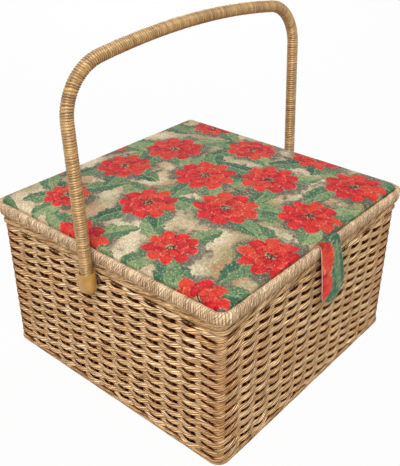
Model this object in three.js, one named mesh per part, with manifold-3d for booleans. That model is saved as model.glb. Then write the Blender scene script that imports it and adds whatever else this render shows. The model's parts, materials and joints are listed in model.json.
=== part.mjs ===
// A square sewing box: a woven basket on a wire frame, a padded lid on cord hinges,
// a cord-wound handle on two pivot screws, and a loose tray inside.
// Millimetres, +Z up. The origin is the middle of the underside. The front is -Y.
import * as THREE from 'three';
import { mergeVertices } from 'three/addons/utils/BufferGeometryUtils.js';
import Module from 'manifold-3d';

// Clearance between pieces that touch
const GAP = 0.3;

// Whole box
const BOX_HEIGHT = 173;
const LID_SIDE = 300;
const LID_CORNER = 12;

// Woven wall, its borders and floor
const RIM_OVERHANG = 3.5;
const WALL_THICKNESS = 5;
const WALL_CORNER = 14;
const FOOT_HEIGHT = 10;
const FOOT_WIDTH = 12;
const FOOT_STANDOUT = 1;
const BORDER_DIAMETER = 9;
const BORDER_STANDOUT = 1;
const FLOOR_THICKNESS = 5;
const LINING_THICKNESS = 1.5;

// Wire frame
const WIRE_DIAMETER = 3;
const STAKES_PER_SIDE = 13;
const STAKE_CORNER_SPACE = 16.5;

// Lid
const LID_RIM_HEIGHT = 16.2;
const LID_RIM_WALL = 4.7;
const LID_RIM_ROUND = 2;
const LID_WIRE_DIAMETER = 3.6;
const LID_BOARD_THICKNESS = 3;
const LID_LINING_THICKNESS = 2.5;
const PAD_GAP = 0.8;
const PAD_EDGE_DROP = 1.5;
const PAD_EDGE_ROUND = 2.5;
const PAD_CROWN = 9.5;
const PAD_FULLNESS = 3;
const CLOTH_THICKNESS = 1.2;
const CUSHION_DIAMETER = 84;
const CUSHION_THICKNESS = 11;
const CUSHION_FULLNESS = 0.7;
const CUSHION_TUCK_ANGLE = 122;

// Cord hinge loops
const LOOP_WIDTH = 6;
const LOOP_THICKNESS = 1.5;
const LOOP_SPACING = 150;

// Pull tab
const TAB_WIDTH = 35;
const TAB_DROP = 64;
const TAB_THICKNESS = 2.5;
const TAB_BOW = 6;
const TAB_BOW_DROP = 42;
const TAB_TIP_TUCK = 0.6;

// Handle and its pivots
const PIVOT_DEPTH = 4.7;
const HANDLE_RISE = 198;
const HANDLE_LEAN = 2.5;
const HANDLE_SIDE_GAP = 0.5;
const BEND_RADIUS = 47;
const BAR_ARCH = 8;
const CORE_DIAMETER = 7;
const WRAP_DIAMETER = 12;
const WRAP_TURNS = 150;
const WRAP_GROOVE = 0.9;
const FERRULE_WALL = 1.7;
const FERRULE_BELOW = 6.5;
const FERRULE_ABOVE = 12.5;
const FERRULE_CUP_DEPTH = 5;
const SCREW_DIAMETER = 5;
const SCREW_HEAD_DIAMETER = 9;
const SCREW_HEAD_HEIGHT = 2.4;
const SCREW_DEPTH = 9;
const WASHER_DIAMETER = 15;
const WASHER_THICKNESS = 1.2;
const SPACER_DIAMETER = 9.6;

// Tray and ledges
const TRAY_HEIGHT = 28;
const TRAY_WALL = 2;
const TRAY_CORNER = 10;
const TRAY_SIDE_CLEARANCE = 1;
const TRAY_END_CLEARANCE = 2;
const TRAY_LIFT = 20;
const TRAY_ROWS = [1, 2, 3];
const LEDGE_WIDTH = 9;
const LEDGE_HEIGHT = 6;
const LEDGE_END_SPACE = 16;

// Facet counts
const CORNER_STEPS = 4;
const SIDE_STEPS = 6;
const PAD_LEVELS = 5;
const WIRE_SIDES = 4;
const ROLL_SIDES = 10;
const ROUND_SIDES = 16;
const CUSHION_SIDES = 20;
const TAB_STEPS = 14;
const BEND_STEPS = 8;
const BAR_STEPS = 8;
const WINDING_SIDES = 8;

// Places that follow from the sizes above
const lidHalf = LID_SIDE / 2;
const lidBottom = BOX_HEIGHT - LID_RIM_HEIGHT;
const lidInner = lidHalf - LID_RIM_WALL;
const wallHalf = lidHalf - RIM_OVERHANG;
const wallInner = wallHalf - WALL_THICKNESS;
const footHalf = wallHalf + FOOT_STANDOUT;
const footInner = footHalf - FOOT_WIDTH;
const borderRadius = BORDER_DIAMETER / 2;
const borderHalf = wallHalf + BORDER_STANDOUT - borderRadius;
const borderZ = lidBottom - GAP - borderRadius;
const wallBottom = FOOT_HEIGHT + GAP;
const wallTop = borderZ - borderRadius - GAP;
const pivotZ = wallTop - PIVOT_DEPTH;
const wireRadius = WIRE_DIAMETER / 2;
const wireHalf = wallInner - GAP - wireRadius;
const screwHole = SCREW_DIAMETER / 2 + GAP;
const wireBottomZ = wallBottom + wireRadius;
const wireTopZ = pivotZ - screwHole - GAP - wireRadius;
const liningHalf = wireHalf - wireRadius - GAP;
const liningInner = liningHalf - LINING_THICKNESS;
const loopInner = borderRadius + GAP;
const loopOuter = loopInner + LOOP_THICKNESS;
const lidWireRadius = LID_WIRE_DIAMETER / 2;
const lidWireHalf = lidInner - GAP - lidWireRadius;
const lidWireZ = lidBottom + 2 * GAP + lidWireRadius;
const loopTop = lidWireZ + lidWireRadius + GAP + LOOP_THICKNESS;
const boardBottom = loopTop + GAP;
const padBottom = boardBottom + LID_BOARD_THICKNESS + GAP;
const padHalf = lidInner - PAD_GAP;
const padEdgeZ = BOX_HEIGHT - PAD_EDGE_DROP;
const lidLiningBottom = boardBottom - GAP - LID_LINING_THICKNESS;
const cushionBottom = lidLiningBottom - GAP - CUSHION_THICKNESS;
const wrapRadius = WRAP_DIAMETER / 2;
const coreRadius = CORE_DIAMETER / 2;
const ferruleRadius = wrapRadius + GAP + FERRULE_WALL;
const armX = lidHalf + HANDLE_SIDE_GAP + ferruleRadius;
const socketFloor = screwHole + FERRULE_WALL;
const cupFloor = FERRULE_ABOVE - FERRULE_CUP_DEPTH;
const washerInnerX = liningInner - GAP - WASHER_THICKNESS;
const headInnerX = washerInnerX - GAP - SCREW_HEAD_HEIGHT;
const trayHalfX = headInnerX - TRAY_SIDE_CLEARANCE;
const trayHalfY = liningInner - TRAY_END_CLEARANCE;
const trayTop = cushionBottom - GAP - TRAY_LIFT;
const trayBottom = trayTop - TRAY_HEIGHT;

const wasm = await Module();
wasm.setup();

// A closed solid for cutting and joining, from any closed geometry
function solidOf(geometry) {
  const bare = geometry.clone();
  bare.deleteAttribute('normal');
  bare.deleteAttribute('uv');
  const merged = mergeVertices(bare, 1e-4);
  return new wasm.Manifold(new wasm.Mesh({
    numProp: 3,
    vertProperties: new Float32Array(merged.attributes.position.array),
    triVerts: new Uint32Array(merged.index.array),
  }));
}

function geometryOf(solid) {
  const mesh = solid.getMesh();
  const geometry = new THREE.BufferGeometry();
  geometry.setAttribute('position', new THREE.BufferAttribute(new Float32Array(mesh.vertProperties), 3));
  geometry.setIndex(new THREE.BufferAttribute(new Uint32Array(mesh.triVerts), 1));
  geometry.computeVertexNormals();
  return geometry;
}

function cut(geometry, ...cutters) {
  let solid = solidOf(geometry);
  for (const cutter of cutters) solid = solid.subtract(solidOf(cutter));
  return geometryOf(solid);
}

// Rings of points joined into one closed skin. Looped rings return to the first ring,
// and other stacks are closed by a fan at each end.
function skin(rings, looped) {
  const size = rings[0].length;
  const points = rings.flat();
  const triangles = [];
  const spans = looped ? rings.length : rings.length - 1;
  for (let i = 0; i < spans; i++) {
    const here = i * size;
    const next = ((i + 1) % rings.length) * size;
    for (let j = 0; j < size; j++) {
      const k = (j + 1) % size;
      triangles.push(here + j, here + k, next + k, here + j, next + k, next + j);
    }
  }
  if (!looped) {
    const last = (rings.length - 1) * size;
    const first = points.length;
    points.push(middleOf(rings[0]), middleOf(rings[rings.length - 1]));
    for (let j = 0; j < size; j++) {
      const k = (j + 1) % size;
      triangles.push(first, k, j, first + 1, last + j, last + k);
    }
  }
  const geometry = new THREE.BufferGeometry().setFromPoints(points);
  geometry.setIndex(triangles);
  geometry.computeVertexNormals();
  return geometry;
}

function middleOf(ring) {
  const sum = new THREE.Vector3();
  for (const point of ring) sum.add(point);
  return sum.divideScalar(ring.length);
}

// Corner radius at some distance in or out from an edge of known corner
function cornerAt(half, edgeHalf, edgeCorner) {
  return Math.max(half - edgeHalf + edgeCorner, GAP);
}

const wallCornerAt = (half) => cornerAt(half, wallHalf, WALL_CORNER);
const lidCornerAt = (half) => cornerAt(half, lidHalf, LID_CORNER);

// One loop round a square with round corners, with extra points along its sides
function squareLoop(half, corner, z, sideSteps) {
  const loop = [];
  const centre = half - corner;
  for (let side = 0; side < 4; side++) {
    const turn = (side * Math.PI) / 2;
    const axis = new THREE.Vector3(0, 0, 1);
    for (let step = 0; step < sideSteps; step++) {
      const along = -centre + (2 * centre * step) / sideSteps;
      if (step > 0) loop.push(new THREE.Vector3(half, along, z).applyAxisAngle(axis, turn));
    }
    for (let step = 0; step <= CORNER_STEPS; step++) {
      const angle = (step / CORNER_STEPS) * (Math.PI / 2);
      const x = centre + corner * Math.cos(angle);
      const y = centre + corner * Math.sin(angle);
      loop.push(new THREE.Vector3(x, y, z).applyAxisAngle(axis, turn));
    }
  }
  return loop;
}

// A section of [half width, height] points, carried round a square with round corners
function squareHoop(section, cornerRule) {
  return skin(section.map(([half, z]) => squareLoop(half, cornerRule(half), z, 1)), true);
}

function roundSection(half, z, radius, sides) {
  const section = [];
  for (let i = 0; i < sides; i++) {
    const angle = (2 * Math.PI * (i + 0.5)) / sides;
    section.push([half + radius * Math.cos(angle), z + radius * Math.sin(angle)]);
  }
  return section;
}

// A band with round edges, between two half widths and two heights
function bandSection(inner, outer, low, high, lowRound, highRound) {
  const section = [];
  const corners = [
    [outer - lowRound, low + lowRound, lowRound, -90],
    [outer - highRound, high - highRound, highRound, 0],
    [inner + highRound, high - highRound, highRound, 90],
    [inner + lowRound, low + lowRound, lowRound, 180],
  ];
  for (const [half, z, radius, start] of corners) {
    for (let step = 0; step <= 2; step++) {
      const angle = THREE.MathUtils.degToRad(start + 45 * step);
      section.push([half + radius * Math.cos(angle), z + radius * Math.sin(angle)]);
    }
  }
  return section;
}

function squareShape(halfX, halfY, corner) {
  const shape = new THREE.Shape();
  shape.moveTo(-halfX + corner, -halfY);
  shape.lineTo(halfX - corner, -halfY);
  shape.absarc(halfX - corner, -halfY + corner, corner, -Math.PI / 2, 0);
  shape.lineTo(halfX, halfY - corner);
  shape.absarc(halfX - corner, halfY - corner, corner, 0, Math.PI / 2);
  shape.lineTo(-halfX + corner, halfY);
  shape.absarc(-halfX + corner, halfY - corner, corner, Math.PI / 2, Math.PI);
  shape.lineTo(-halfX, -halfY + corner);
  shape.absarc(-halfX + corner, -halfY + corner, corner, Math.PI, 1.5 * Math.PI);
  return shape;
}

// A flat plate of a shape in X and Y, between two heights
function plate(shape, low, high) {
  const options = { depth: high - low, bevelEnabled: false, curveSegments: CORNER_STEPS };
  return new THREE.ExtrudeGeometry(shape, options).translate(0, 0, low);
}

function squarePlate(half, corner, low, high) {
  return plate(squareShape(half, half, corner), low, high);
}

// A shape drawn in Y and Z, extruded along X about a middle place
function alongX(shape, length, x, curveSegments) {
  const options = { depth: length, bevelEnabled: false, curveSegments };
  const toX = new THREE.Matrix4().makeBasis(
    new THREE.Vector3(0, 1, 0),
    new THREE.Vector3(0, 0, 1),
    new THREE.Vector3(1, 0, 0),
  );
  return new THREE.ExtrudeGeometry(shape, options)
    .translate(0, 0, -length / 2)
    .applyMatrix4(toX)
    .translate(x, 0, 0);
}

// A turned piece whose axis lies along X, with its profile given as [radius, x]
function turnedAlongX(profile, sides) {
  const points = profile.map(([radius, x]) => new THREE.Vector2(radius, x));
  return new THREE.LatheGeometry(points, sides).rotateZ(-Math.PI / 2);
}

function boxBetween(low, high) {
  const size = high.map((value, i) => value - low[i]);
  const middle = high.map((value, i) => (value + low[i]) / 2);
  return new THREE.BoxGeometry(...size).translate(...middle);
}

// Hole for a pivot screw, through both side walls at once
function pivotHole() {
  return new THREE.CylinderGeometry(screwHole, screwHole, 2 * LID_SIDE, ROUND_SIDES)
    .rotateZ(Math.PI / 2)
    .translate(0, 0, pivotZ);
}

// Room for each hinge loop, from one height to another
function loopNotches(low, high) {
  const side = LOOP_WIDTH / 2 + GAP;
  const inner = borderHalf - loopOuter - GAP;
  return [-1, 1].map((sign) => {
    const x = (sign * LOOP_SPACING) / 2;
    return boxBetween([x - side, inner, low], [x + side, lidHalf + GAP, high]);
  });
}

// Materials
const finish = (color, roughness, metalness = 0) => (
  new THREE.MeshStandardMaterial({ color, roughness, metalness })
);
const CORD = '#c79d68';
const DARK_CORD = '#b58a55';
const STEEL = '#9a9a98';
const PAPERBOARD = '#a58a66';
const CLOTH_RED = '#b5473b';
const LINING_CLOTH = '#e3d6bd';
const OCHRE_PLASTIC = '#cda546';
const CLEAR_PLASTIC = '#dfe4e4';
const FOAM = '#efe7cf';

const box = new THREE.Group();
box.name = 'sewing_box';

function piece(parent, name, geometry, material) {
  const mesh = new THREE.Mesh(geometry, material);
  mesh.name = name;
  parent.add(mesh);
}

// Foot border, floor and stiffening board
function addFloor() {
  const footRound = FOOT_HEIGHT / 2 - GAP;
  const foot = bandSection(footInner, footHalf, 0, FOOT_HEIGHT, footRound, GAP);
  piece(box, 'base_border', squareHoop(foot, wallCornerAt), finish(CORD, 0.8));
  const inside = footInner - GAP;
  const corner = wallCornerAt(inside);
  piece(box, 'base_panel', squarePlate(inside, corner, 0, FLOOR_THICKNESS), finish(DARK_CORD, 0.85));
  const boardLow = FLOOR_THICKNESS + GAP;
  piece(box, 'base_board', squarePlate(inside, corner, boardLow, FOOT_HEIGHT), finish(PAPERBOARD, 0.9));
}

// Woven wall, with room for the pivot screws and for the loops at the back
function addWall() {
  const section = [
    [wallHalf, wallBottom],
    [wallHalf, wallTop],
    [wallInner, wallTop],
    [wallInner, wallBottom],
  ];
  const loopSwing = Math.hypot(loopOuter, WALL_THICKNESS) - loopOuter;
  const notchLow = borderZ - loopOuter - GAP - loopSwing;
  const wall = cut(squareHoop(section, wallCornerAt), pivotHole(), ...loopNotches(notchLow, BOX_HEIGHT));
  piece(box, 'basket_weave', wall, finish(CORD, 0.75));
  const roll = roundSection(borderHalf, borderZ, borderRadius, ROLL_SIDES);
  piece(box, 'top_border', squareHoop(roll, wallCornerAt), finish(CORD, 0.75));
}

// Welded frame: a hoop at the foot, a hoop under the pivot screws, and upright stakes
function addWireFrame() {
  const hoop = (z) => squareHoop(roundSection(wireHalf, z, wireRadius, WIRE_SIDES), wallCornerAt);
  let frame = solidOf(hoop(wireBottomZ)).add(solidOf(hoop(wireTopZ)));
  const height = wireTopZ - wireBottomZ;
  const reach = wallHalf - STAKE_CORNER_SPACE;
  const axis = new THREE.Vector3(0, 0, 1);
  for (let side = 0; side < 4; side++) {
    for (let i = 0; i < STAKES_PER_SIDE; i++) {
      const along = -reach + (2 * reach * i) / (STAKES_PER_SIDE - 1);
      const place = new THREE.Vector3(wireHalf, along, wireBottomZ + height / 2);
      place.applyAxisAngle(axis, (side * Math.PI) / 2);
      const stake = new THREE.CylinderGeometry(wireRadius, wireRadius, height, WIRE_SIDES)
        .rotateX(Math.PI / 2)
        .translate(place.x, place.y, place.z);
      frame = frame.add(solidOf(stake));
    }
  }
  piece(box, 'wire_frame', geometryOf(frame), finish(STEEL, 0.45, 1));
}

// Cloth bag inside the wall
function addLining() {
  const corner = wallCornerAt(liningHalf);
  const innerCorner = wallCornerAt(liningInner);
  const top = borderZ - GAP;
  const bag = squarePlate(liningHalf, corner, wallBottom, top);
  const room = squarePlate(liningInner, innerCorner, wallBottom + LINING_THICKNESS, BOX_HEIGHT);
  const notchLow = borderZ - loopOuter - GAP;
  const lining = cut(bag, room, pivotHole(), ...loopNotches(notchLow, BOX_HEIGHT));
  piece(box, 'lining', lining, finish(LINING_CLOTH, 0.9));
}

// Wooden ledges on the front and back of the lining
function addLedges() {
  const outer = liningInner - GAP;
  const inner = outer - LEDGE_WIDTH;
  const top = trayBottom - GAP;
  const length = 2 * (liningInner - LEDGE_END_SPACE);
  for (const [name, sign] of [['front', -1], ['back', 1]]) {
    const section = new THREE.Shape();
    section.moveTo(sign * outer, top);
    section.lineTo(sign * inner, top);
    section.lineTo(sign * inner, top - LEDGE_HEIGHT / 2);
    section.lineTo(sign * (inner + LEDGE_HEIGHT / 2), top - LEDGE_HEIGHT);
    section.lineTo(sign * outer, top - LEDGE_HEIGHT);
    section.closePath();
    piece(box, `tray_ledge_${name}`, alongX(section, length, 0, 1), finish(PAPERBOARD, 0.8));
  }
}

// Loose moulded tray: rows of compartments, from one wide one at the front
function addTray() {
  const body = plate(squareShape(trayHalfX, trayHalfY, TRAY_CORNER), trayBottom, trayTop);
  const rowDepth = (2 * trayHalfY - TRAY_WALL) / TRAY_ROWS.length;
  const rooms = [];
  TRAY_ROWS.forEach((count, row) => {
    const cellWidth = (2 * trayHalfX - TRAY_WALL) / count;
    const halfX = (cellWidth - TRAY_WALL) / 2;
    const halfY = (rowDepth - TRAY_WALL) / 2;
    const y = -trayHalfY + TRAY_WALL / 2 + rowDepth * (row + 0.5);
    for (let column = 0; column < count; column++) {
      const x = -trayHalfX + TRAY_WALL / 2 + cellWidth * (column + 0.5);
      const shape = squareShape(halfX, halfY, TRAY_CORNER - TRAY_WALL);
      rooms.push(plate(shape, trayBottom + TRAY_WALL, BOX_HEIGHT).translate(x, y, 0));
    }
  });
  piece(box, 'tray', cut(body, ...rooms), finish(CLEAR_PLASTIC, 0.25));
}

// A crowned pad: straight sides, rounded edge and a top that swells to the middle
function pad(half, low, edge, crown, edgeRound) {
  const corner = lidCornerAt(half);
  const swell = (place) => 1 - Math.min(Math.abs(place) / half, 1) ** PAD_FULLNESS;
  const rings = [
    squareLoop(half, corner, low, SIDE_STEPS),
    squareLoop(half, corner, edge - edgeRound, SIDE_STEPS),
  ];
  const rounding = edgeRound * (1 - Math.SQRT1_2);
  rings.push(squareLoop(half - rounding, corner, edge - rounding, SIDE_STEPS));
  const topHalf = half - edgeRound;
  for (let level = PAD_LEVELS; level > 0; level--) {
    const share = level / PAD_LEVELS;
    const ring = squareLoop(topHalf * share, corner * share, edge, SIDE_STEPS);
    for (const point of ring) point.z += crown * swell(point.x) * swell(point.y);
    rings.push(ring);
  }
  return skin(rings, false);
}

// Lid: lashed rim, wire hoop, board, foam, cloth, lining and pin cushion
function addLid() {
  const rimSection = bandSection(
    lidInner, lidHalf, lidBottom, BOX_HEIGHT, LID_RIM_ROUND, LID_RIM_ROUND,
  );
  const notches = loopNotches(lidBottom - GAP, boardBottom);
  piece(box, 'lid_rim', cut(squareHoop(rimSection, lidCornerAt), ...notches), finish(CORD, 0.7));
  const hoop = roundSection(lidWireHalf, lidWireZ, lidWireRadius, WIRE_SIDES);
  piece(box, 'lid_wire', squareHoop(hoop, lidCornerAt), finish(STEEL, 0.45, 1));
  const boardHalf = lidInner - GAP;
  const boardTop = boardBottom + LID_BOARD_THICKNESS;
  const board = squarePlate(boardHalf, lidCornerAt(boardHalf), boardBottom, boardTop);
  piece(box, 'lid_board', board, finish(PAPERBOARD, 0.9));

  const underCloth = padHalf - CLOTH_THICKNESS;
  const underEdge = padEdgeZ - CLOTH_THICKNESS;
  const outside = pad(padHalf, padBottom, padEdgeZ, PAD_CROWN, PAD_EDGE_ROUND);
  const inside = pad(underCloth, lidBottom, underEdge, PAD_CROWN, PAD_EDGE_ROUND);
  piece(box, 'lid_cover', cut(outside, inside), finish(CLOTH_RED, 0.85));
  const foam = pad(underCloth - GAP, padBottom, underEdge - GAP, PAD_CROWN, PAD_EDGE_ROUND);
  piece(box, 'lid_foam', foam, finish(FOAM, 0.95));

  const liningEdge = lidWireHalf - lidWireRadius - GAP;
  const liningTop = boardBottom - GAP;
  const panel = squarePlate(liningEdge, lidCornerAt(liningEdge), lidLiningBottom, liningTop);
  piece(box, 'lid_lining', cut(panel, ...notches), finish(LINING_CLOTH, 0.9));
  piece(box, 'pin_cushion', pinCushion(), finish(CLOTH_RED, 0.85));
}

// Round cushion, flat against the lid and swelling downwards
function pinCushion() {
  const radius = CUSHION_DIAMETER / 2;
  const top = cushionBottom + CUSHION_THICKNESS;
  const tuck = THREE.MathUtils.degToRad(CUSHION_TUCK_ANGLE);
  const profile = [new THREE.Vector2(0, cushionBottom)];
  const steps = ROUND_SIDES / 2;
  for (let step = 1; step <= steps; step++) {
    const angle = (step / steps) * tuck;
    const belly = (CUSHION_THICKNESS * (1 - Math.cos(angle))) / (1 - Math.cos(tuck));
    profile.push(new THREE.Vector2(radius * Math.sin(angle) ** CUSHION_FULLNESS, cushionBottom + belly));
  }
  profile.push(new THREE.Vector2(0, top));
  return new THREE.LatheGeometry(profile, CUSHION_SIDES).rotateX(Math.PI / 2);
}

// Oblong cord loops that hold the lid's wire to the mouth border, free to turn on the border
function addHingeLoops() {
  const topCentre = loopTop - loopOuter;
  const oblong = (radius, outline) => {
    outline.moveTo(borderHalf + radius, borderZ);
    outline.lineTo(borderHalf + radius, topCentre);
    outline.absarc(borderHalf, topCentre, radius, 0, Math.PI);
    outline.lineTo(borderHalf - radius, borderZ);
    outline.absarc(borderHalf, borderZ, radius, Math.PI, 2 * Math.PI);
    return outline;
  };
  for (const [name, sign] of [['left', -1], ['right', 1]]) {
    const shape = oblong(loopOuter, new THREE.Shape());
    shape.holes.push(oblong(loopInner, new THREE.Path()));
    const loop = alongX(shape, LOOP_WIDTH, (sign * LOOP_SPACING) / 2, ROUND_SIDES / 2);
    piece(box, `hinge_loop_${name}`, loop, finish(DARK_CORD, 0.8));
  }
}

// Cloth tab: a rolled seam on top of the rim, then over its edge and down the front
function addTab() {
  const half = TAB_THICKNESS / 2;
  const seamY = -(lidInner + LID_RIM_WALL / 2);
  const seamZ = BOX_HEIGHT + GAP + half;
  const faceY = -(lidHalf + GAP + half);
  const tipZ = BOX_HEIGHT - TAB_DROP;
  const line = new THREE.SplineCurve([
    new THREE.Vector2(seamY, seamZ),
    new THREE.Vector2((seamY + faceY) / 2 - half / 2, seamZ - GAP / 2),
    new THREE.Vector2(faceY - GAP, BOX_HEIGHT - half),
    new THREE.Vector2(faceY - TAB_BOW / 2, BOX_HEIGHT - TAB_BOW_DROP / 3),
    new THREE.Vector2(faceY - TAB_BOW, BOX_HEIGHT - TAB_BOW_DROP),
    new THREE.Vector2(faceY - TAB_BOW + TAB_TIP_TUCK, tipZ),
  ]);
  const side = (sign, i) => {
    const tangent = line.getTangentAt(i / TAB_STEPS);
    const point = line.getPointAt(i / TAB_STEPS);
    return new THREE.Vector2(point.x - sign * half * tangent.y, point.y + sign * half * tangent.x);
  };
  const section = [];
  for (let i = 0; i <= TAB_STEPS; i++) section.push(side(1, i));
  for (let i = TAB_STEPS; i >= 0; i--) section.push(side(-1, i));
  for (let i = 1; i < 4; i++) {
    const start = line.getTangentAt(0).angle() - Math.PI / 2;
    const angle = start - (i / 4) * Math.PI;
    section.push(new THREE.Vector2(seamY + half * Math.cos(angle), seamZ + half * Math.sin(angle)));
  }
  const strip = alongX(new THREE.Shape(section), TAB_WIDTH, 0, 1);

  const radius = TAB_WIDTH / 2;
  const outline = new THREE.Shape();
  outline.moveTo(radius, BOX_HEIGHT + TAB_WIDTH);
  outline.lineTo(-radius, BOX_HEIGHT + TAB_WIDTH);
  outline.lineTo(-radius, tipZ + radius);
  outline.absarc(0, tipZ + radius, radius, Math.PI, 2 * Math.PI);
  outline.closePath();
  const window = new THREE.ExtrudeGeometry(outline, {
    depth: LID_SIDE, bevelEnabled: false, curveSegments: ROUND_SIDES,
  }).rotateX(Math.PI / 2);
  piece(box, 'lid_tab', geometryOf(solidOf(strip).intersect(solidOf(window))), finish(CLOTH_RED, 0.85));
}

// Middle line of the handle in its own plane, from the left arm over the bar to the right arm.
// Heights count from the pivot axis, and each place has the direction that points outwards.
const handleStart = socketFloor + GAP;
const straightArm = HANDLE_RISE - BEND_RADIUS;
const barArch = THREE.MathUtils.degToRad(BAR_ARCH);
const bendAngle = Math.PI / 2 - barArch;
const barRadius = (armX - BEND_RADIUS) / Math.sin(barArch) + BEND_RADIUS;
const barCentreZ = straightArm - (barRadius - BEND_RADIUS) * Math.cos(barArch);
const armRun = straightArm - handleStart;
const bendRun = BEND_RADIUS * bendAngle;
const barRun = barRadius * barArch;
const handleRun = 2 * (armRun + bendRun + barRun);

function handlePlace(run) {
  const fromEnd = Math.min(run, handleRun - run);
  const sign = run < handleRun / 2 ? -1 : 1;
  let x = armX;
  let z = handleStart + fromEnd;
  let angle = 0;
  if (fromEnd > armRun + bendRun) {
    angle = bendAngle + (fromEnd - armRun - bendRun) / barRadius;
    x = barRadius * Math.cos(angle);
    z = barCentreZ + barRadius * Math.sin(angle);
  } else if (fromEnd > armRun) {
    angle = (fromEnd - armRun) / BEND_RADIUS;
    x = armX - BEND_RADIUS + BEND_RADIUS * Math.cos(angle);
    z = straightArm + BEND_RADIUS * Math.sin(angle);
  }
  const middle = new THREE.Vector3(sign * x, 0, z);
  const outwards = new THREE.Vector3(sign * Math.cos(angle), 0, Math.sin(angle));
  return { middle, outwards };
}

function handlePoint(run, radius, turn) {
  const { middle, outwards } = handlePlace(run);
  const sideways = new THREE.Vector3(0, -1, 0);
  return middle
    .addScaledVector(outwards, radius * Math.cos(turn))
    .addScaledVector(sideways, radius * Math.sin(turn));
}

function handleRing(run, radius, sides) {
  const ring = [];
  for (let j = 0; j < sides; j++) ring.push(handlePoint(run, radius, (2 * Math.PI * j) / sides));
  return ring;
}

// Places along the handle: few on the straight runs, more round the bends
function handleStops(first, last) {
  const barStart = armRun + bendRun;
  const barEnd = barStart + 2 * barRun;
  const stops = [first];
  for (let i = 0; i < BEND_STEPS; i++) stops.push(armRun + (bendRun * i) / BEND_STEPS);
  for (let i = 0; i < BAR_STEPS; i++) stops.push(barStart + (2 * barRun * i) / BAR_STEPS);
  for (let i = 0; i <= BEND_STEPS; i++) stops.push(barEnd + (bendRun * i) / BEND_STEPS);
  stops.push(last);
  return stops;
}

// The winding: one rib that climbs round the handle, a crest and a groove to each turn
function windingOf(first, last) {
  const sides = WINDING_SIDES;
  const pitch = (last - first) / WRAP_TURNS;
  const rows = 2 * WRAP_TURNS + 2;
  const rings = [];
  for (let i = -2; i <= rows; i++) {
    const ring = [];
    for (let j = 0; j < sides; j++) {
      const run = first + (i / 2 + j / sides) * pitch;
      const inside = run > first && run < last;
      const crest = inside && i % 2 === 0;
      const held = Math.min(Math.max(run, first), last);
      ring.push(handlePoint(held, crest ? wrapRadius : wrapRadius - WRAP_GROOVE, (2 * Math.PI * j) / sides));
    }
    rings.push(ring);
  }
  return rings;
}

// Skin of the winding: the last side of each row joins the first side two rows on
function windingGeometry(first, last) {
  const rings = windingOf(first, last);
  const sides = rings[0].length;
  const points = rings.flat();
  const triangles = [];
  const at = (i, j) => {
    const row = j === sides ? i + 2 : i;
    return Math.min(Math.max(row, 0), rings.length - 1) * sides + (j % sides);
  };
  for (let i = -2; i < rings.length - 1; i++) {
    for (let j = 0; j < sides; j++) {
      const corners = [at(i, j), at(i, j + 1), at(i + 1, j + 1), at(i + 1, j)];
      triangles.push(corners[0], corners[1], corners[2], corners[0], corners[2], corners[3]);
    }
  }
  const bore = coreRadius + GAP;
  const boreStart = points.length;
  const stops = handleStops(first, last);
  for (const stop of stops) points.push(...handleRing(stop, bore, sides));
  for (let i = 0; i < stops.length - 1; i++) {
    for (let j = 0; j < sides; j++) {
      const here = boreStart + i * sides;
      const k = (j + 1) % sides;
      triangles.push(here + j, here + sides + k, here + k, here + j, here + sides + j, here + sides + k);
    }
  }
  const boreEnd = boreStart + (stops.length - 1) * sides;
  const top = (rings.length - 1) * sides;
  for (let j = 0; j < sides; j++) {
    const k = (j + 1) % sides;
    triangles.push(j, boreStart + k, k, j, boreStart + j, boreStart + k);
    triangles.push(top + j, top + k, boreEnd + k, top + j, boreEnd + k, boreEnd + j);
  }
  return withoutSlivers(points, triangles);
}

// Points that fall together become one, and triangles with no area are left out
function withoutSlivers(points, triangles) {
  const loose = new THREE.BufferGeometry().setFromPoints(points);
  loose.setIndex(triangles);
  const merged = mergeVertices(loose, 1e-4);
  const index = merged.index.array;
  const kept = [];
  for (let i = 0; i < index.length; i += 3) {
    const [a, b, c] = [index[i], index[i + 1], index[i + 2]];
    if (a !== b && b !== c && c !== a) kept.push(a, b, c);
  }
  merged.setIndex(kept);
  merged.computeVertexNormals();
  return merged;
}

// Handle: steel core, cord winding and an end cup on each arm
function addHandle() {
  const handle = new THREE.Group();
  handle.position.z = pivotZ;
  handle.rotation.x = -THREE.MathUtils.degToRad(HANDLE_LEAN);
  box.add(handle);

  const stops = handleStops(0, handleRun);
  const core = skin(stops.map((stop) => handleRing(stop, coreRadius, ROLL_SIDES)), false);
  piece(handle, 'handle_core', core, finish(STEEL, 0.4, 1));
  const wrapStart = cupFloor + GAP - handleStart;
  const winding = windingGeometry(wrapStart, handleRun - wrapStart);
  piece(handle, 'handle_wrap', winding, finish(CORD, 0.65));

  const cupRadius = wrapRadius + GAP;
  const edge = FERRULE_WALL / 3;
  const profile = [
    [0, -FERRULE_BELOW],
    [ferruleRadius - edge, -FERRULE_BELOW],
    [ferruleRadius, -FERRULE_BELOW + edge],
    [ferruleRadius, FERRULE_ABOVE - edge],
    [ferruleRadius - edge, FERRULE_ABOVE],
    [cupRadius, FERRULE_ABOVE],
    [cupRadius, cupFloor],
    [coreRadius + GAP, cupFloor],
    [coreRadius + GAP, socketFloor],
    [0, socketFloor],
  ].map(([radius, z]) => new THREE.Vector2(radius, z));
  for (const [name, sign] of [['left', -1], ['right', 1]]) {
    const cup = new THREE.LatheGeometry(profile, ROUND_SIDES)
      .rotateX(Math.PI / 2)
      .translate(sign * armX, 0, 0);
    const holeEnd = armX - ferruleRadius + SCREW_DEPTH + GAP;
    const hole = new THREE.CylinderGeometry(screwHole, screwHole, holeEnd, ROUND_SIDES)
      .rotateZ(Math.PI / 2)
      .translate((sign * holeEnd) / 2, 0, 0);
    piece(handle, `ferrule_${name}`, cut(cup, hole), finish(OCHRE_PLASTIC, 0.35));
  }
}

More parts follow.
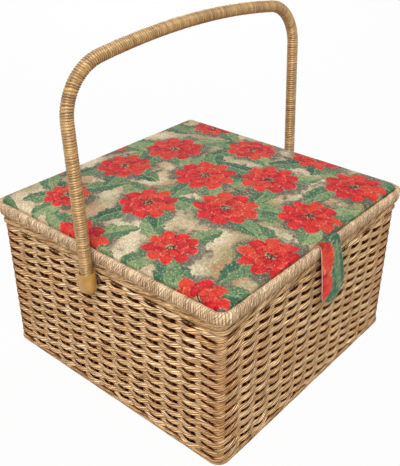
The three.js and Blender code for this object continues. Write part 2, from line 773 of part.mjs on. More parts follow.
// Pivot screws from inside the box, with a washer on the lining and a spacer on the wall
function addPivots() {
  const ring = (outer, low, high) => turnedAlongX([
    [screwHole, low],
    [outer, low],
    [outer, high],
    [screwHole, high],
    [screwHole, low],
  ], ROUND_SIDES);
  const tipX = armX - ferruleRadius + SCREW_DEPTH;
  const headSeat = washerInnerX - GAP;
  const screwProfile = [
    [0, headInnerX],
    [SCREW_HEAD_DIAMETER / 3, headInnerX],
    [SCREW_HEAD_DIAMETER / 2, headSeat - SCREW_HEAD_HEIGHT / 2],
    [SCREW_HEAD_DIAMETER / 2, headSeat],
    [SCREW_DIAMETER / 2, headSeat],
    [SCREW_DIAMETER / 2, tipX],
    [0, tipX],
  ];
  for (const [name, turn] of [['left', Math.PI], ['right', 0]]) {
    const side = new THREE.Group();
    side.position.z = pivotZ;
    side.rotation.z = turn;
    box.add(side);
    const steel = finish(STEEL, 0.35, 1);
    piece(side, `pivot_screw_${name}`, turnedAlongX(screwProfile, ROUND_SIDES), steel);
    const washer = ring(WASHER_DIAMETER / 2, washerInnerX, liningInner - GAP);
    piece(side, `pivot_washer_${name}`, washer, finish(STEEL, 0.35, 1));
    const spacer = ring(SPACER_DIAMETER / 2, wallHalf + GAP, armX - ferruleRadius - GAP);
    piece(side, `pivot_spacer_${name}`, spacer, finish(OCHRE_PLASTIC, 0.4));
  }
}

addFloor();
addWall();
addWireFrame();
addLining();
addLedges();
addTray();
addLid();
addHingeLoops();
addTab();
addHandle();
addPivots();

export default box;
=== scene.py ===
"""Looks of a woven sewing box with a padded cloth lid, built around its CAD frame.

Metres, +Z up, front towards -Y. Each piece is made from rings or grids of points.
"""
import json
import math

import bpy
import numpy as np
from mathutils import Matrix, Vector


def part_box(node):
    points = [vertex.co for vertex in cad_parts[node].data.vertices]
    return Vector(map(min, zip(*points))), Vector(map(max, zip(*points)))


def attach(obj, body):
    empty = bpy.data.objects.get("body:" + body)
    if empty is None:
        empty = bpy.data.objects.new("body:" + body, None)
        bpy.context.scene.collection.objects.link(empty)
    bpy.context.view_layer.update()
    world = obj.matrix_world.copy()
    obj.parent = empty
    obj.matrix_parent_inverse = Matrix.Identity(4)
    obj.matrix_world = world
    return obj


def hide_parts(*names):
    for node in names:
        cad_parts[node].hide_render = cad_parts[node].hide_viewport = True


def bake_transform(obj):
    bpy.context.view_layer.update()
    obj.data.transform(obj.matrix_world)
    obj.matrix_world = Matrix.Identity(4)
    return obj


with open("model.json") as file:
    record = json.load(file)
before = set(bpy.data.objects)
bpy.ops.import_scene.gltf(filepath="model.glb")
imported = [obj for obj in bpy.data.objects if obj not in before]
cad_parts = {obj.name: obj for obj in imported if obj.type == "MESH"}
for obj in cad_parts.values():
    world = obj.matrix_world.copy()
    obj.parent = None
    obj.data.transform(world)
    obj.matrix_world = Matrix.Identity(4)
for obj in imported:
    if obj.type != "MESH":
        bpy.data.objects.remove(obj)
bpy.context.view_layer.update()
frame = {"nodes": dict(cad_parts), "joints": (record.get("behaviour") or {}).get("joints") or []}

MM = 0.001
UP = np.array([0, 0, 1.0])
SEED = 8286

# Woven wall
WALL_ROWS = 27
FOOT_ROWS = 1
WEAVE_BANDS = 4
STAKES_PER_SIDE = 13
STAKE_REACH = 130 * MM
STAKE_RADIUS = 1 * MM
HOOP_RADIUS = 1.5 * MM
WALL_CORNER = 14 * MM
CORD_THICKNESS = 2.8 * MM
WEAVE_STANDOUT = 1.4 * MM
WEAVE_WOBBLE = 0.4 * MM
WEAVE_CORNER = 10 * MM
CROSSING_HEIGHT = 1.2
CORNER_CALM = 0.6
HUMP_HEIGHT = 1.16
BACK_HEIGHT = 1.8
SLIT_EDGE = 0.42
CORNER_SHADE = 0.35
CORD_PLIES = 6
CORD_STRANDS = 10
CORD_LAY = 52 * MM
CORD_GROOVE = 0.12
CORD_STEPS = 520
CORD_SIDES = 24

# Borders and rim
BORDER_STRANDS = 26
ROLL_STEPS = 720
ROLL_SIDES = 28
BORDER_LAY = 150 * MM
FOOT_LAY = 220 * MM
FOOT_HEIGHT = 7.2 * MM
LID_CORNER = 12 * MM
RIM_WALL = 4.7 * MM
LASH_HEIGHT = 11 * MM
LASH_PITCH = 2.5 * MM
LASH_DEPTH = 1 * MM
LASH_SQUARENESS = 6
RIM_CORD_SETBACKS = (3 * MM, 0.9 * MM)
RIM_CORD_WIDTH = 3.8 * MM

# Lid
LOOP_TURNS = 3
RIPPLE = 0.35 * MM
PLEATS = 24
PLEAT_DEPTH = 0.7 * MM
PAD_GAP = 0.8 * MM
PAD_EDGE_ROUND = 3.5 * MM
PAD_EDGE_RISE = 4 * MM
PAD_FULLNESS = 3
PAD_CELLS = 280
PUCKER = 0.25 * MM

# Printed cloth
FLOWER_SPACING = 84 * MM
PRINT_DEPTH = 0.82
PRINT_WARP = 1.6 * MM
FLOWER_RADIUS = 30 * MM
FLOWER_PETALS = 9
LEAF_LENGTH = 44 * MM
LEAF_WIDTH = 24 * MM
LEAVES_PER_FLOWER = 4

# Pull tab
TAB_THICKNESS = 2.3 * MM
TAB_GAP = 0.3 * MM
TAB_SQUARENESS = 3.5
TAB_BOW = 6 * MM
TAB_BOW_DROP = 42 * MM
TAB_PUFF = 1.4 * MM
TAB_NARROWING = 2 * MM
TAB_TIP = 8 * MM
TAB_LEFT_ROUND = 22 * MM
TAB_RIGHT_ROUND = 16 * MM
TAB_FLARE = 7.5 * MM
TAB_BLUNTNESS = 2.2
TAB_LEAF = ((9 * MM, 8 * MM), 1.5, 60 * MM, 22 * MM, 0.2)
TAB_PETALS = (((-37 * MM, 12 * MM), 41 * MM, 0.5), ((-32 * MM, 46 * MM), 29 * MM, 0.2))
PIPING_RADIUS = 0.45 * MM

# Handle
HANDLE_RISE = 198 * MM
HANDLE_LEAN = math.radians(2.5)
BEND_RADIUS = 47 * MM
BAR_ARCH = math.radians(8)
WRAP_RADIUS = 6 * MM
WRAP_PITCH = 2.3 * MM
WRAP_GROOVE = 0.14
WRAP_START = 7.8 * MM
CUP_RADIUS = 8 * MM
CUP_BORE = 6.3 * MM
CUP_FOOT = -5.6 * MM
CUP_SHOULDER = -2 * MM
CUP_FLOOR = 7.5 * MM
CUP_TOP = 12.9 * MM
CUP_ROUNDING = 1.2 * MM
SHANK_RADIUS = 2.5 * MM

# Inside and underside
LINING_THICKNESS = 1.5 * MM
LINING_SLACK = 0.6 * MM
MAT_PITCH = 5 * MM
MAT_STAKE_PITCH = 21.67 * MM
MAT_HEIGHT = 1.2 * MM

# Stage
WHITE = (1, 1, 1, 1)
WORLD_LIGHT = 0.1
FLOOR_SIZE = 4
FLOOR_GREY = 0.65
FLOOR_WHITENESS = 0.95
LAMPS = (
    ("key_light", (-1.2, -0.8, 1.5), 1.2, 47),
    ("fill_light", (0.9, -1.3, 0.9), 1.2, 5),
    ("back_light", (1.3, 1.3, 1.1), 1.4, 24),
)
LAMP_TARGET = (0, 0, 0.12)

# Camera of the photograph
CAMERA_PLACE = (-0.4842, -0.4143, 0.4977)
CAMERA_TARGET = (-0.0018, 0.0021, 0.1259)
CAMERA_LENS = 53.63

random = np.random.default_rng(SEED)


# Places read from the frame


def half_of(node):
    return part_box(node)[1].x


def low_of(node):
    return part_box(node)[0].z


def top_of(node):
    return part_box(node)[1].z


pivot_z = next(joint for joint in frame["joints"] if joint["name"] == "handle_swing")["pos_m"][2]
arm_x = half_of("handle_wrap") - WRAP_RADIUS
weave_outer = half_of("basket_weave") + WEAVE_STANDOUT
weave_swing = STAKE_RADIUS + CORD_THICKNESS / 2
weave_middle = weave_outer - weave_swing - CORD_THICKNESS / 2
weave_corner = WEAVE_CORNER - (weave_outer - weave_middle)
weave_rows = WALL_ROWS + FOOT_ROWS
weave_top = top_of("basket_weave")
weave_pitch = (weave_top - low_of("basket_weave")) / WALL_ROWS
weave_low = weave_top - weave_rows * weave_pitch
lid_half = half_of("lid_rim")


# Colours


def srgb(red, green, blue):
    """Linear colour of a colour given in 0 to 255 display values."""
    share = np.array([red, green, blue]) / 255
    return np.where(share <= 0.04045, share / 12.92, ((share + 0.055) / 1.055) ** 2.4)


CORD_LIGHT = srgb(251, 216, 170)
CORD_MID = srgb(207, 161, 111)
BORDER_LIGHT = srgb(228, 194, 150)
BORDER_MID = srgb(184, 143, 96)
# Painted shade in the creases between plies and round the corners of the weave.
CORD_HALF_SHADE = srgb(114, 62, 17)
# Painted shade deep in the slits of the weave and in the gaps and grooves of cords.
CORD_DEEP_SHADE = srgb(68, 22, 3)
RIM_LIGHT = srgb(228, 199, 163)
RIM_MID = srgb(186, 151, 113)
# Painted shade in the creases between the lashing ribs of the rim.
RIM_DEEP_SHADE = srgb(70, 42, 24)
LINING_FACE = srgb(226, 212, 186)
# Painted shade: the back of the lining, seen only through the slits of the weave.
LINING_BACK_SHADE = srgb(204, 122, 54)
HANDLE_LIGHT = srgb(198, 156, 98)
HANDLE_MID = srgb(130, 90, 46)
# Painted shade in the grooves between the turns of the handle winding.
HANDLE_DEEP_SHADE = srgb(50, 26, 10)
RED_BRIGHT = srgb(240, 48, 48)
RED_DARK = srgb(178, 26, 36)
RED_WARM = srgb(226, 84, 54)
PETAL_EDGE = srgb(238, 170, 140)
GREEN_DARK = srgb(52, 98, 78)
GREEN_MID = srgb(100, 138, 96)
GREEN_PALE = srgb(166, 180, 124)
TEAL_DARK = srgb(34, 58, 58)
CREAM = srgb(238, 220, 186)
BEIGE = srgb(214, 190, 150)
OLIVE = srgb(156, 150, 98)
BLUSH = srgb(204, 136, 96)
GOLD = srgb(206, 160, 70)


def blend_colours(first, second, share):
    share = np.asarray(share)[..., None]
    return first + (second - first) * share


def layered(colour, *layers):
    """A colour with others laid over it in turn, each given with its share."""
    for over, share in layers:
        colour = blend_colours(colour, over, share)
    return colour


def ease(low, high, value):
    """0 below low, 1 above high, smooth between."""
    share = np.clip((value - low) / (high - low), 0, 1)
    return share * share * (3 - 2 * share)


def soft_noise(x, y, cell, table):
    """Smooth random values from -1 to 1 over places x, y, with bumps of about one cell."""
    column, row = x / cell, y / cell
    left, below = np.floor(column).astype(int), np.floor(row).astype(int)
    across, up = ease(0, 1, column - left), ease(0, 1, row - below)
    size = len(table)

    def corner(i, j):
        return table[(left + i) % size, (below + j) % size]

    low = corner(0, 0) * (1 - across) + corner(1, 0) * across
    high = corner(0, 1) * (1 - across) + corner(1, 1) * across
    return low * (1 - up) + high * up


def noise_table():
    return random.uniform(-1, 1, (64, 64))


# Meshes


def add_object(name, data):
    item = bpy.data.objects.new(name, data)
    bpy.context.collection.objects.link(item)
    return item


def new_piece(name, points, faces, maps, paint=None):
    """A smooth mesh object. Faces are arrays of equal-sided faces, and maps hold a place per face corner."""
    points = np.asarray(points, float).reshape(-1, 3)
    corners = np.concatenate([face.ravel() for face in faces])
    sizes = np.concatenate([np.full(len(face), face.shape[1]) for face in faces])
    mesh = bpy.data.meshes.new(name)
    mesh.vertices.add(len(points))
    mesh.vertices.foreach_set("co", points.ravel())
    mesh.loops.add(len(corners))
    mesh.loops.foreach_set("vertex_index", corners.astype(np.int32))
    mesh.polygons.add(len(sizes))
    starts = np.concatenate([[0], np.cumsum(sizes)[:-1]])
    mesh.polygons.foreach_set("loop_start", starts.astype(np.int32))
    mesh.update(calc_edges=True)
    for map_name, places in maps.items():
        layer = mesh.uv_layers.new(name=map_name)
        layer.data.foreach_set("uv", places.astype(np.float32).ravel())
    if paint is not None:
        colours = np.concatenate([paint.reshape(-1, 3), np.ones((len(points), 1))], axis=1)
        layer = mesh.color_attributes.new(name="Paint", type="FLOAT_COLOR", domain="POINT")
        layer.data.foreach_set("color", colours.astype(np.float32).ravel())
    mesh.validate()
    mesh.shade_smooth()
    if inside_out(points, faces[0]):
        mesh.flip_normals()
    return add_object(name, mesh)


def inside_out(points, quads):
    corner = [points[quads[:, i]] for i in range(4)]
    first = np.einsum("ij,ij->i", corner[0], np.cross(corner[1], corner[2]))
    second = np.einsum("ij,ij->i", corner[0], np.cross(corner[2], corner[3]))
    return (first + second).sum() < 0


def ring_angles(sides, start=0.0):
    return start + 2 * np.pi * np.arange(sides) / sides


def oval(angle, power):
    """Reach of a shape of size 1 at an angle: round for a power of 2, and squarer for more."""
    return (np.abs(np.cos(angle)) ** power + np.abs(np.sin(angle)) ** power) ** (-1 / power)


def unit(vectors):
    return vectors / np.linalg.norm(vectors, axis=-1, keepdims=True)


def run_along(points):
    """Length along a line, up to each of its points."""
    return np.append(0, np.cumsum(np.linalg.norm(np.diff(points, axis=0), axis=1)))


def with_next(values):
    """Values with one even step added, for the return to the first ring."""
    return np.append(values, 2 * values[-1] - values[-2])


def rings_piece(name, strands, paint=None, looped=True, folds=4, run=None, turn=None, girth=1.0):
    """One mesh of tubes. Strands are arrays of rings, [strand, ring, side, xyz], closed round their sides.

    Run is the length along each ring, and turn the angle that its plies have made there.
    Girth is the width on the Lay map of one radian round a ring.
    """
    strands = np.asarray(strands, float)
    count, rings, sides = strands.shape[:3]
    spans = rings if looped else rings - 1
    ring, side = np.meshgrid(np.arange(spans), np.arange(sides), indexing="ij")
    along = ring[..., None] + [0, 1, 1, 0]
    around = side[..., None] + [0, 0, 1, 1]
    quads = (along % rings * sides + around % sides).reshape(-1, 4)
    fold_length = math.ceil(spans / folds)
    fold = (ring // fold_length)[..., None]
    run = with_next(np.arange(rings) * MM if run is None else run)
    turn = with_next(np.zeros(rings) if turn is None else turn)
    lay = np.stack([run[along], girth * (2 * np.pi * around / sides - turn[along])], axis=-1)
    faces, bake, lays, ends = [], [], [], []
    for strand in range(count):
        base = strand * rings * sides
        faces.append(quads + base)
        strip = (strand * folds + fold + 0.04 + 0.92 * around / sides) / (count * folds)
        bake.append(np.stack([0.01 + 0.98 * (along - fold * fold_length) / fold_length, strip], axis=-1))
        lays.append(lay + [strand * 0.37, 0])
        ends += [base + np.arange(sides)[::-1], base + (rings - 1) * sides + np.arange(sides)]
    faces = [np.concatenate(faces)]
    maps = {"OFBake": np.concatenate(bake).reshape(-1, 2), "Lay": np.concatenate(lays).reshape(-1, 2)}
    if not looped:
        faces.append(np.array(ends))
        flat = np.zeros((2 * count * sides, 2))
        maps = {key: np.concatenate([value, flat]) for key, value in maps.items()}
    return new_piece(name, strands, faces, maps, paint)


def square_path(half, corner, steps, z=0.0):
    """Even steps round a level square with round corners: run, place, outward direction and whole length."""
    straight = 2 * (half - corner)
    quarter = straight + corner * math.pi / 2
    run = np.arange(steps) * (4 * quarter / steps)
    side = np.minimum((run / quarter).astype(int), 3)
    rest = run - side * quarter
    bend = np.maximum(rest - straight, 0) / corner
    x = np.minimum(rest, straight) - straight / 2 + corner * np.sin(bend)
    y = -half + corner * (1 - np.cos(bend))
    cosine, sine = np.cos(side * np.pi / 2), np.sin(side * np.pi / 2)
    place = np.stack([x * cosine - y * sine, x * sine + y * cosine, z + 0 * x], axis=-1)
    outward = np.stack([
        np.sin(bend) * cosine + np.cos(bend) * sine, np.sin(bend) * sine - np.cos(bend) * cosine, 0 * x,
    ], axis=-1)
    return run, place, outward, 4 * quarter


def rings_about(centres, outward, up, across, rise):
    """Rings of places about centres, at distances from them in the outward and up directions."""
    outward, up = np.broadcast_to(outward, centres.shape), np.broadcast_to(up, centres.shape)
    return centres[:, None] + across[..., None] * outward[:, None] + rise[..., None] * up[:, None]


def uneven(number, count, *ranges):
    """Random values for numbered ribs or turns, one set from each range."""
    return [random.uniform(low, high, count)[number] for low, high in ranges]


def cord_rings(centres, outward, depth, height, sides, plies, groove, turn, squareness=2, up=UP):
    """Rings of a twisted cord: its plies make shallow grooves that wind along it."""
    angle = ring_angles(sides, np.pi)
    lobe = np.abs(np.cos(plies / 2 * (angle - turn[:, None])))
    reach = (1 - groove * (1 - lobe ** 0.7)) * oval(angle, squareness)
    across = reach * np.cos(angle) * np.asarray(depth).reshape(-1, 1) / 2
    rise = reach * np.sin(angle) * np.asarray(height).reshape(-1, 1) / 2
    count = max(plies, 1)
    ply = np.round((angle - turn[:, None]) * count / (2 * np.pi)).astype(int) % count
    return rings_about(centres, outward, up, across, rise), across, lobe, ply


def even_turn(run, length, pitch):
    """Ply angle along a closed cord, with a whole number of turns in its length."""
    return run / length * 2 * np.pi * round(length / pitch)


def cord_paint(light, mid, shade_colour, tint, depth):
    """Cord colour from a tint of -1 to 1, with painted shade blended in by a depth of 0, in the open, to 1,
    deep in a gap.
    """
    return blend_colours(blend_colours(mid, light, 0.5 + 0.5 * np.clip(tint, -1, 1)), shade_colour, depth)


def place_piece(piece, body, material, slot, *nodes, bend=None):
    """Gives a piece its finish and its body, and hides the CAD nodes that it stands for.

    Cloth that crosses a joint is given two bodies and two places to bend between, but it is attached to
    neither body and does not bend: its placement is only baked into its mesh.
    """
    piece.data.materials.clear()
    piece.data.materials.append(material)
    if bend:
        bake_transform(piece)
    else:
        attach(piece, body)
    if nodes:
        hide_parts(*nodes)


# Materials


def add_node(tree, kind, inputs=None, **settings):
    """A shader node. Each input is a plain value, or another node's output that is linked to it."""
    node = tree.nodes.new(kind)
    for key, value in settings.items():
        setattr(node, key, value)
    for key, value in (inputs or {}).items():
        if isinstance(value, bpy.types.NodeSocket):
            tree.links.new(value, node.inputs[key])
        else:
            node.inputs[key].default_value = value
    return node


def math_of(tree, operation, *inputs):
    return add_node(tree, "ShaderNodeMath", dict(enumerate(inputs)), operation=operation).outputs[0]


def new_material(name, roughness, **sockets):
    """A material with some shader values, its node tree and its shader."""
    material = bpy.data.materials.new(name)
    material.use_nodes = True
    shader = material.node_tree.nodes["Principled BSDF"]
    shader.inputs["Roughness"].default_value = roughness
    for key, value in sockets.items():
        shader.inputs[key.replace("_", " ")].default_value = value
    return material, material.node_tree, shader


def rgba(colour):
    return (*(float(part) for part in colour), 1.0)


def lay_of(tree):
    return add_node(tree, "ShaderNodeUVMap", uv_map="Lay").outputs["UV"]


def lay_noise(tree, along, around, detail=3.0):
    """Noise drawn out along a piece's own Lay map."""
    place = add_node(tree, "ShaderNodeMapping", {"Vector": lay_of(tree), "Scale": (along, around, 1)})
    return add_node(
        tree, "ShaderNodeTexNoise",
        {"Vector": place.outputs["Vector"], "Scale": 1.0, "Detail": detail, "Roughness": 0.6},
        noise_dimensions="2D",
    ).outputs["Fac"]


def shaded(tree, colour, factor, low, high):
    """A colour multiplied by a grey between low and high, picked by a factor."""
    grey = add_node(
        tree, "ShaderNodeMapRange",
        {"Value": factor, "From Min": 0.25, "From Max": 0.75, "To Min": low, "To Max": high},
    )
    product = {0: colour, 1: grey.outputs["Result"]}
    return add_node(tree, "ShaderNodeVectorMath", product, operation="MULTIPLY").outputs["Vector"]


def paint_of(tree):
    return add_node(tree, "ShaderNodeVertexColor", layer_name="Paint").outputs["Color"]


def bump_to(tree, shader, height, distance, strength):
    bump = add_node(tree, "ShaderNodeBump", {"Height": height, "Distance": distance, "Strength": strength})
    tree.links.new(bump.outputs["Normal"], shader.inputs["Normal"])


def strand_heights(tree, strands):
    """1 on top of a cord's fine strands and 0 in the creases between them, which follow the Lay map."""
    around = add_node(tree, "ShaderNodeSeparateXYZ", {0: lay_of(tree)}).outputs["Y"]
    waver = lay_noise(tree, 50, 0.8, 1.0)
    phase = math_of(tree, "MULTIPLY_ADD", waver, 3.0, math_of(tree, "MULTIPLY", around, strands / 2))
    return math_of(tree, "ABSOLUTE", math_of(tree, "SINE", phase))


def cord_material(name, roughness, specular, strands=0, relief_height=0.35 * MM, **sockets):
    """Twisted paper cord: fibres, and fine strands if it has any, over the painted colour, with painted
    shade in the creases between strands and a slight painted highlight on their tops.
    """
    material, tree, shader = new_material(name, roughness, Specular_IOR_Level=specular, **sockets)
    relief = fibres = lay_noise(tree, 110, 4.5)
    colour = shaded(tree, paint_of(tree), fibres, 0.2, 1.75)
    colour = shaded(tree, colour, lay_noise(tree, 45, 0.5, 1.0), 0.88, 1.1)
    if strands:
        heights = strand_heights(tree, strands)
        # Painted shade in the strand creases, and a slight painted highlight on the strand tops.
        colour = shaded(tree, colour, heights, 0.3, 1.26)
        relief = math_of(tree, "ADD", fibres, heights)
    tree.links.new(colour, shader.inputs["Base Color"])
    bump_to(tree, shader, relief, relief_height, 0.8)
    return material


def woven_heights(tree, pitch):
    """Over and under threads of a plain cloth, from the Lay map in metres."""
    threads = {"Vector": lay_of(tree), "Scale": math.pi / (10 * pitch), "Distortion": 0.6, "Detail": 1.0}
    waves = [
        add_node(tree, "ShaderNodeTexWave", threads, wave_type="BANDS", bands_direction=axis).outputs["Fac"]
        for axis in "XY"
    ]
    return math_of(tree, "MAXIMUM", *waves)


def cloth_material(name, pitch, colour=None):
    """Woven cloth in one colour, or in the piece's own paint, with painted shade between its threads."""
    material, tree, shader = new_material(
        name, 0.85, Specular_IOR_Level=0.12, Sheen_Weight=0.04, Sheen_Roughness=0.5,
    )
    threads = woven_heights(tree, pitch)
    if colour is None:
        base = paint_of(tree)
    else:
        base = add_node(tree, "ShaderNodeRGB").outputs[0]
        base.default_value = rgba(colour)
    tinted = shaded(tree, base, lay_noise(tree, 0.35 / pitch, 0.35 / pitch, 2.0), 0.84, 1.14)
    # Painted shade between the threads, and a slight painted highlight on them.
    tinted = shaded(tree, tinted, threads, 0.84, 1.08)
    tree.links.new(tinted, shader.inputs["Base Color"])
    bump_to(tree, shader, threads, 0.3 * MM, 0.6)
    return material


def grained_material(name, first, second, scale, roughness, bump, **sockets):
    """A solid whose two tones and fine relief come from noise, such as plastic, board or steel."""
    material, tree, shader = new_material(name, roughness, **sockets)
    place = add_node(tree, "ShaderNodeTexCoord").outputs["Object"]
    noise = add_node(
        tree, "ShaderNodeTexNoise", {"Vector": place, "Scale": scale, "Detail": 4.0, "Roughness": 0.6}
    ).outputs["Fac"]
    ramp = add_node(tree, "ShaderNodeValToRGB", {"Fac": noise})
    for stop, position, tone in zip(ramp.color_ramp.elements, (0.3, 0.7), (first, second)):
        stop.position = position
        stop.color = rgba(tone)
    tree.links.new(ramp.outputs["Color"], shader.inputs["Base Color"])
    bump_to(tree, shader, noise, bump, 0.5)
    return material


cord = cord_material("twisted_cord", 0.7, 0.03, CORD_STRANDS)
border_cord = cord_material("border_cord", 0.7, 0.03, BORDER_STRANDS)
lashing_cord = cord_material("lashing_cord", 0.65, 0.08)
glossy_cord = cord_material(
    "wound_cord", 0.34, 1.0, relief_height=0.06 * MM, Specular_Tint=(1, 0.86, 0.6, 1),
)
print_cloth = cloth_material("printed_cloth", 0.8 * MM)
lining_cloth = cloth_material("lining_cloth", 0.7 * MM, LINING_FACE)
bag_cloth = cloth_material("bag_cloth", 0.7 * MM)
cushion_cloth = cloth_material("cushion_cloth", 0.6 * MM, srgb(178, 48, 44))
piping_cloth = cloth_material("piping_cloth", 0.6 * MM, srgb(186, 160, 140))
wire_coat = grained_material(
    "coated_wire", srgb(104, 54, 20), srgb(128, 74, 34), 400, 0.6, 0.05 * MM, Specular_IOR_Level=0.05,
)
steel = grained_material(
    "steel", srgb(168, 168, 164), srgb(196, 196, 192), 900, 0.32, 0.02 * MM, Metallic=1.0,
)
ochre = grained_material(
    "ochre_plastic", srgb(158, 112, 42), srgb(184, 138, 60), 140, 0.36, 0.04 * MM, Coat_Weight=0.35,
)
tray_plastic = grained_material(
    "tray_plastic", srgb(216, 222, 222), srgb(226, 230, 230), 60, 0.3, 0.03 * MM, Transmission_Weight=0.25,
)
# The spacers are dark brown as painted shade, for the shadowed gap beside the end cups.
spacer_painted_shade = grained_material("spacer_painted_shade", srgb(66, 42, 28), srgb(88, 58, 38), 140, 0.5, 0.03 * MM)
board = grained_material("paperboard", srgb(150, 124, 90), srgb(176, 150, 114), 260, 0.9, 0.1 * MM)


# Woven wall


def stake_numbers(run, length):
    """Counts the stakes along a row. They stand at whole numbers, with each corner between two."""
    quarter = length / 4
    straight = 2 * (weave_middle - weave_corner)
    first = straight / 2 - STAKE_REACH
    last = straight / 2 + STAKE_REACH
    runs, numbers = [], []
    for side in range(-1, 5):
        runs += [side * quarter + first, side * quarter + last]
        numbers += [side * STAKES_PER_SIDE, (side + 1) * STAKES_PER_SIDE - 1]
    return np.interp(run, runs, numbers)


def row_swing(row, stake):
    """Where a row lies at each stake number: 1 in front of the stakes, -1 behind them."""
    side = np.cos(np.pi * (stake + row))
    if row == 0:
        side = np.clip(side, -0.8, 1)
    if row == weave_rows - 1:
        side = np.clip(side, -0.5, 1)
    return np.sign(side) * np.abs(side) ** 1.25


def weave_band(index, rows):
    """Some rows of cord, each passing in front of every other stake and behind the rest, with painted shade
    in their slits, grooves and corners.
    """
    stakes = 4 * STAKES_PER_SIDE
    run, place, outward, length = square_path(weave_middle, weave_corner, CORD_STEPS)
    stake = stake_numbers(run, length)
    from_corner = np.abs((stake + 0.5 + STAKES_PER_SIDE / 2) % STAKES_PER_SIDE - STAKES_PER_SIDE / 2)
    near_corner = ease(1.4, 0.6, from_corner)
    corner_shade = CORNER_SHADE * ease(0.5, 0.15, from_corner)[:, None]
    turn = even_turn(run, length, CORD_LAY)
    table = noise_table()
    strands, paints = [], []
    for row in rows:
        stretch = 1 + 0.07 * random.standard_normal(stakes + 1)
        stretch[-1] = stretch[0]
        stretch = np.clip(np.interp(stake % stakes, np.arange(stakes + 1), stretch), 0.85, 1.06)
        side = row_swing(row, stake) * stretch
        offset = weave_swing * side * (1 - CORNER_CALM * near_corner)
        far_height = np.where(side > 0, HUMP_HEIGHT, BACK_HEIGHT)
        height = CROSSING_HEIGHT + (far_height - CROSSING_HEIGHT) * side ** 2 + 0.1 * near_corner
        wobble = WEAVE_WOBBLE * soft_noise(stake % stakes, row * 3.7, 1.6, table)
        z = weave_low + (row + 0.5) * weave_pitch + wobble
        centres = place + offset[:, None] * outward + z[:, None] * UP
        plies = turn + random.uniform(0, 2 * np.pi)
        rings, across, lobe, ply = cord_rings(
            centres, outward, CORD_THICKNESS, weave_pitch * height, CORD_SIDES, CORD_PLIES, CORD_GROOVE,
            plies,
        )
        # Painted shade: cord that lies behind the stakes, deep in a slit, is blended towards a dark brown by
        # its depth.
        depth = 0.5 - across / CORD_THICKNESS - side[:, None]
        tint = 0.5 * soft_noise(stake % stakes, row * 5.3, 1.3, table)[:, None]
        tint = tint + 0.3 * random.uniform(-1, 1) + random.uniform(-0.6, 0.6, CORD_PLIES)[ply]
        # Painted shade in the grooves between plies and round the corners, where the strands face the light;
        # near the corners the tint is darker too, as painted shade.
        line = np.maximum(0.95 * ease(0.7, 0.1, lobe), corner_shade)
        paint = cord_paint(CORD_LIGHT, CORD_MID, CORD_HALF_SHADE, tint - 0.45 * near_corner[:, None], line)
        strands.append(rings)
        paints.append(blend_colours(paint, CORD_DEEP_SHADE, ease(SLIT_EDGE - 0.12, SLIT_EDGE + 0.12, depth)))
    piece = rings_piece(f"weave_rows_{index}", strands, np.array(paints), True, 4, run, turn)
    place_piece(piece, "basket", cord, "cord", "basket_weave")


def weave():
    for index, rows in enumerate(np.array_split(np.arange(weave_rows), WEAVE_BANDS), 1):
        weave_band(index, rows)


def round_rods(name, paths, radius, sides, looped=False):
    """Plain round tubes along paths of equal length, each given as places, outward and upward directions."""
    strands = [
        cord_rings(centres, outward, 2 * radius, 2 * radius, sides, 0, 0, np.zeros(len(centres)), up=up)[0]
        for centres, outward, up in paths
    ]
    return rings_piece(name, strands, None, looped, 1)


def wire_hoops(name, body, node, radius, heights, outer, outer_corner, steps, sides):
    """Closed wires round the box, with corners about the same centres as those of an outer square."""
    half = half_of(node) - radius
    corner = outer_corner - (outer - half)
    paths = [(*square_path(half, corner, steps, z)[1:3], UP) for z in heights]
    place_piece(round_rods(name, paths, radius, sides, True), body, wire_coat, "wire", node)


def weave_stakes():
    """Upright wires between the front and back cords, and the two hoops that they are welded to."""
    heights = np.linspace(weave_low + weave_pitch, weave_top, 4)
    outward, along = np.array([0, -1.0, 0]), np.array([1.0, 0, 0])
    rods = []
    for side in range(4):
        cosine, sine = math.cos(side * math.pi / 2), math.sin(side * math.pi / 2)
        spin = np.array([[cosine, sine, 0], [-sine, cosine, 0], [0, 0, 1]])
        for x in np.linspace(-STAKE_REACH, STAKE_REACH, STAKES_PER_SIDE):
            centres = np.stack([np.full(4, x), np.full(4, -weave_middle), heights], axis=-1)
            rods.append((centres @ spin, outward @ spin, along @ spin))
    stakes = round_rods("weave_stakes", rods, STAKE_RADIUS, 10)
    place_piece(stakes, "basket", wire_coat, "wire", "wire_frame")
    levels = (low_of("wire_frame") + HOOP_RADIUS, top_of("wire_frame") - HOOP_RADIUS)
    wall_half = half_of("basket_weave")
    wire_hoops("frame_hoops", "basket", "wire_frame", HOOP_RADIUS, levels, wall_half, WALL_CORNER, 160, 10)


def laid_cord(
    name, body, node, material, half, corner, z, width, height, plies, groove, lay, squareness, shaded_top_reach=None
):
    """A thick closed roll of laid cord round the box, with painted shade in the grooves between its plies,
    and painted shade on its top inside of a reach if one is given.
    """
    run, place, outward, length = square_path(half, corner, ROLL_STEPS, z)
    turn = even_turn(run, length, lay)
    rings, across, lobe, ply = cord_rings(
        place, outward, width, height, ROLL_SIDES, plies, groove, turn, squareness
    )
    tint = 0.6 * soft_noise(run, 0, 14 * MM, noise_table())[:, None]
    tint = tint - 0.3 + random.uniform(-0.4, 0.4, plies)[ply]
    # Painted shade in the grooves between plies.
    paint = cord_paint(BORDER_LIGHT, BORDER_MID, CORD_HALF_SHADE, tint, 0.9 * ease(0.5, 0.05, lobe))
    # Painted shade on the top of the roll, where it is seen deep in the slits of the weave.
    if shaded_top_reach is not None:
        on_top = rings[..., 2] > z + 0.3 * height
        paint = blend_colours(paint, CORD_DEEP_SHADE, on_top * ease(shaded_top_reach, shaded_top_reach - 1.5 * MM, across))
    piece = rings_piece(name, rings[None], paint[None], True, 8, run, turn)
    place_piece(piece, body, material, "cord", node)


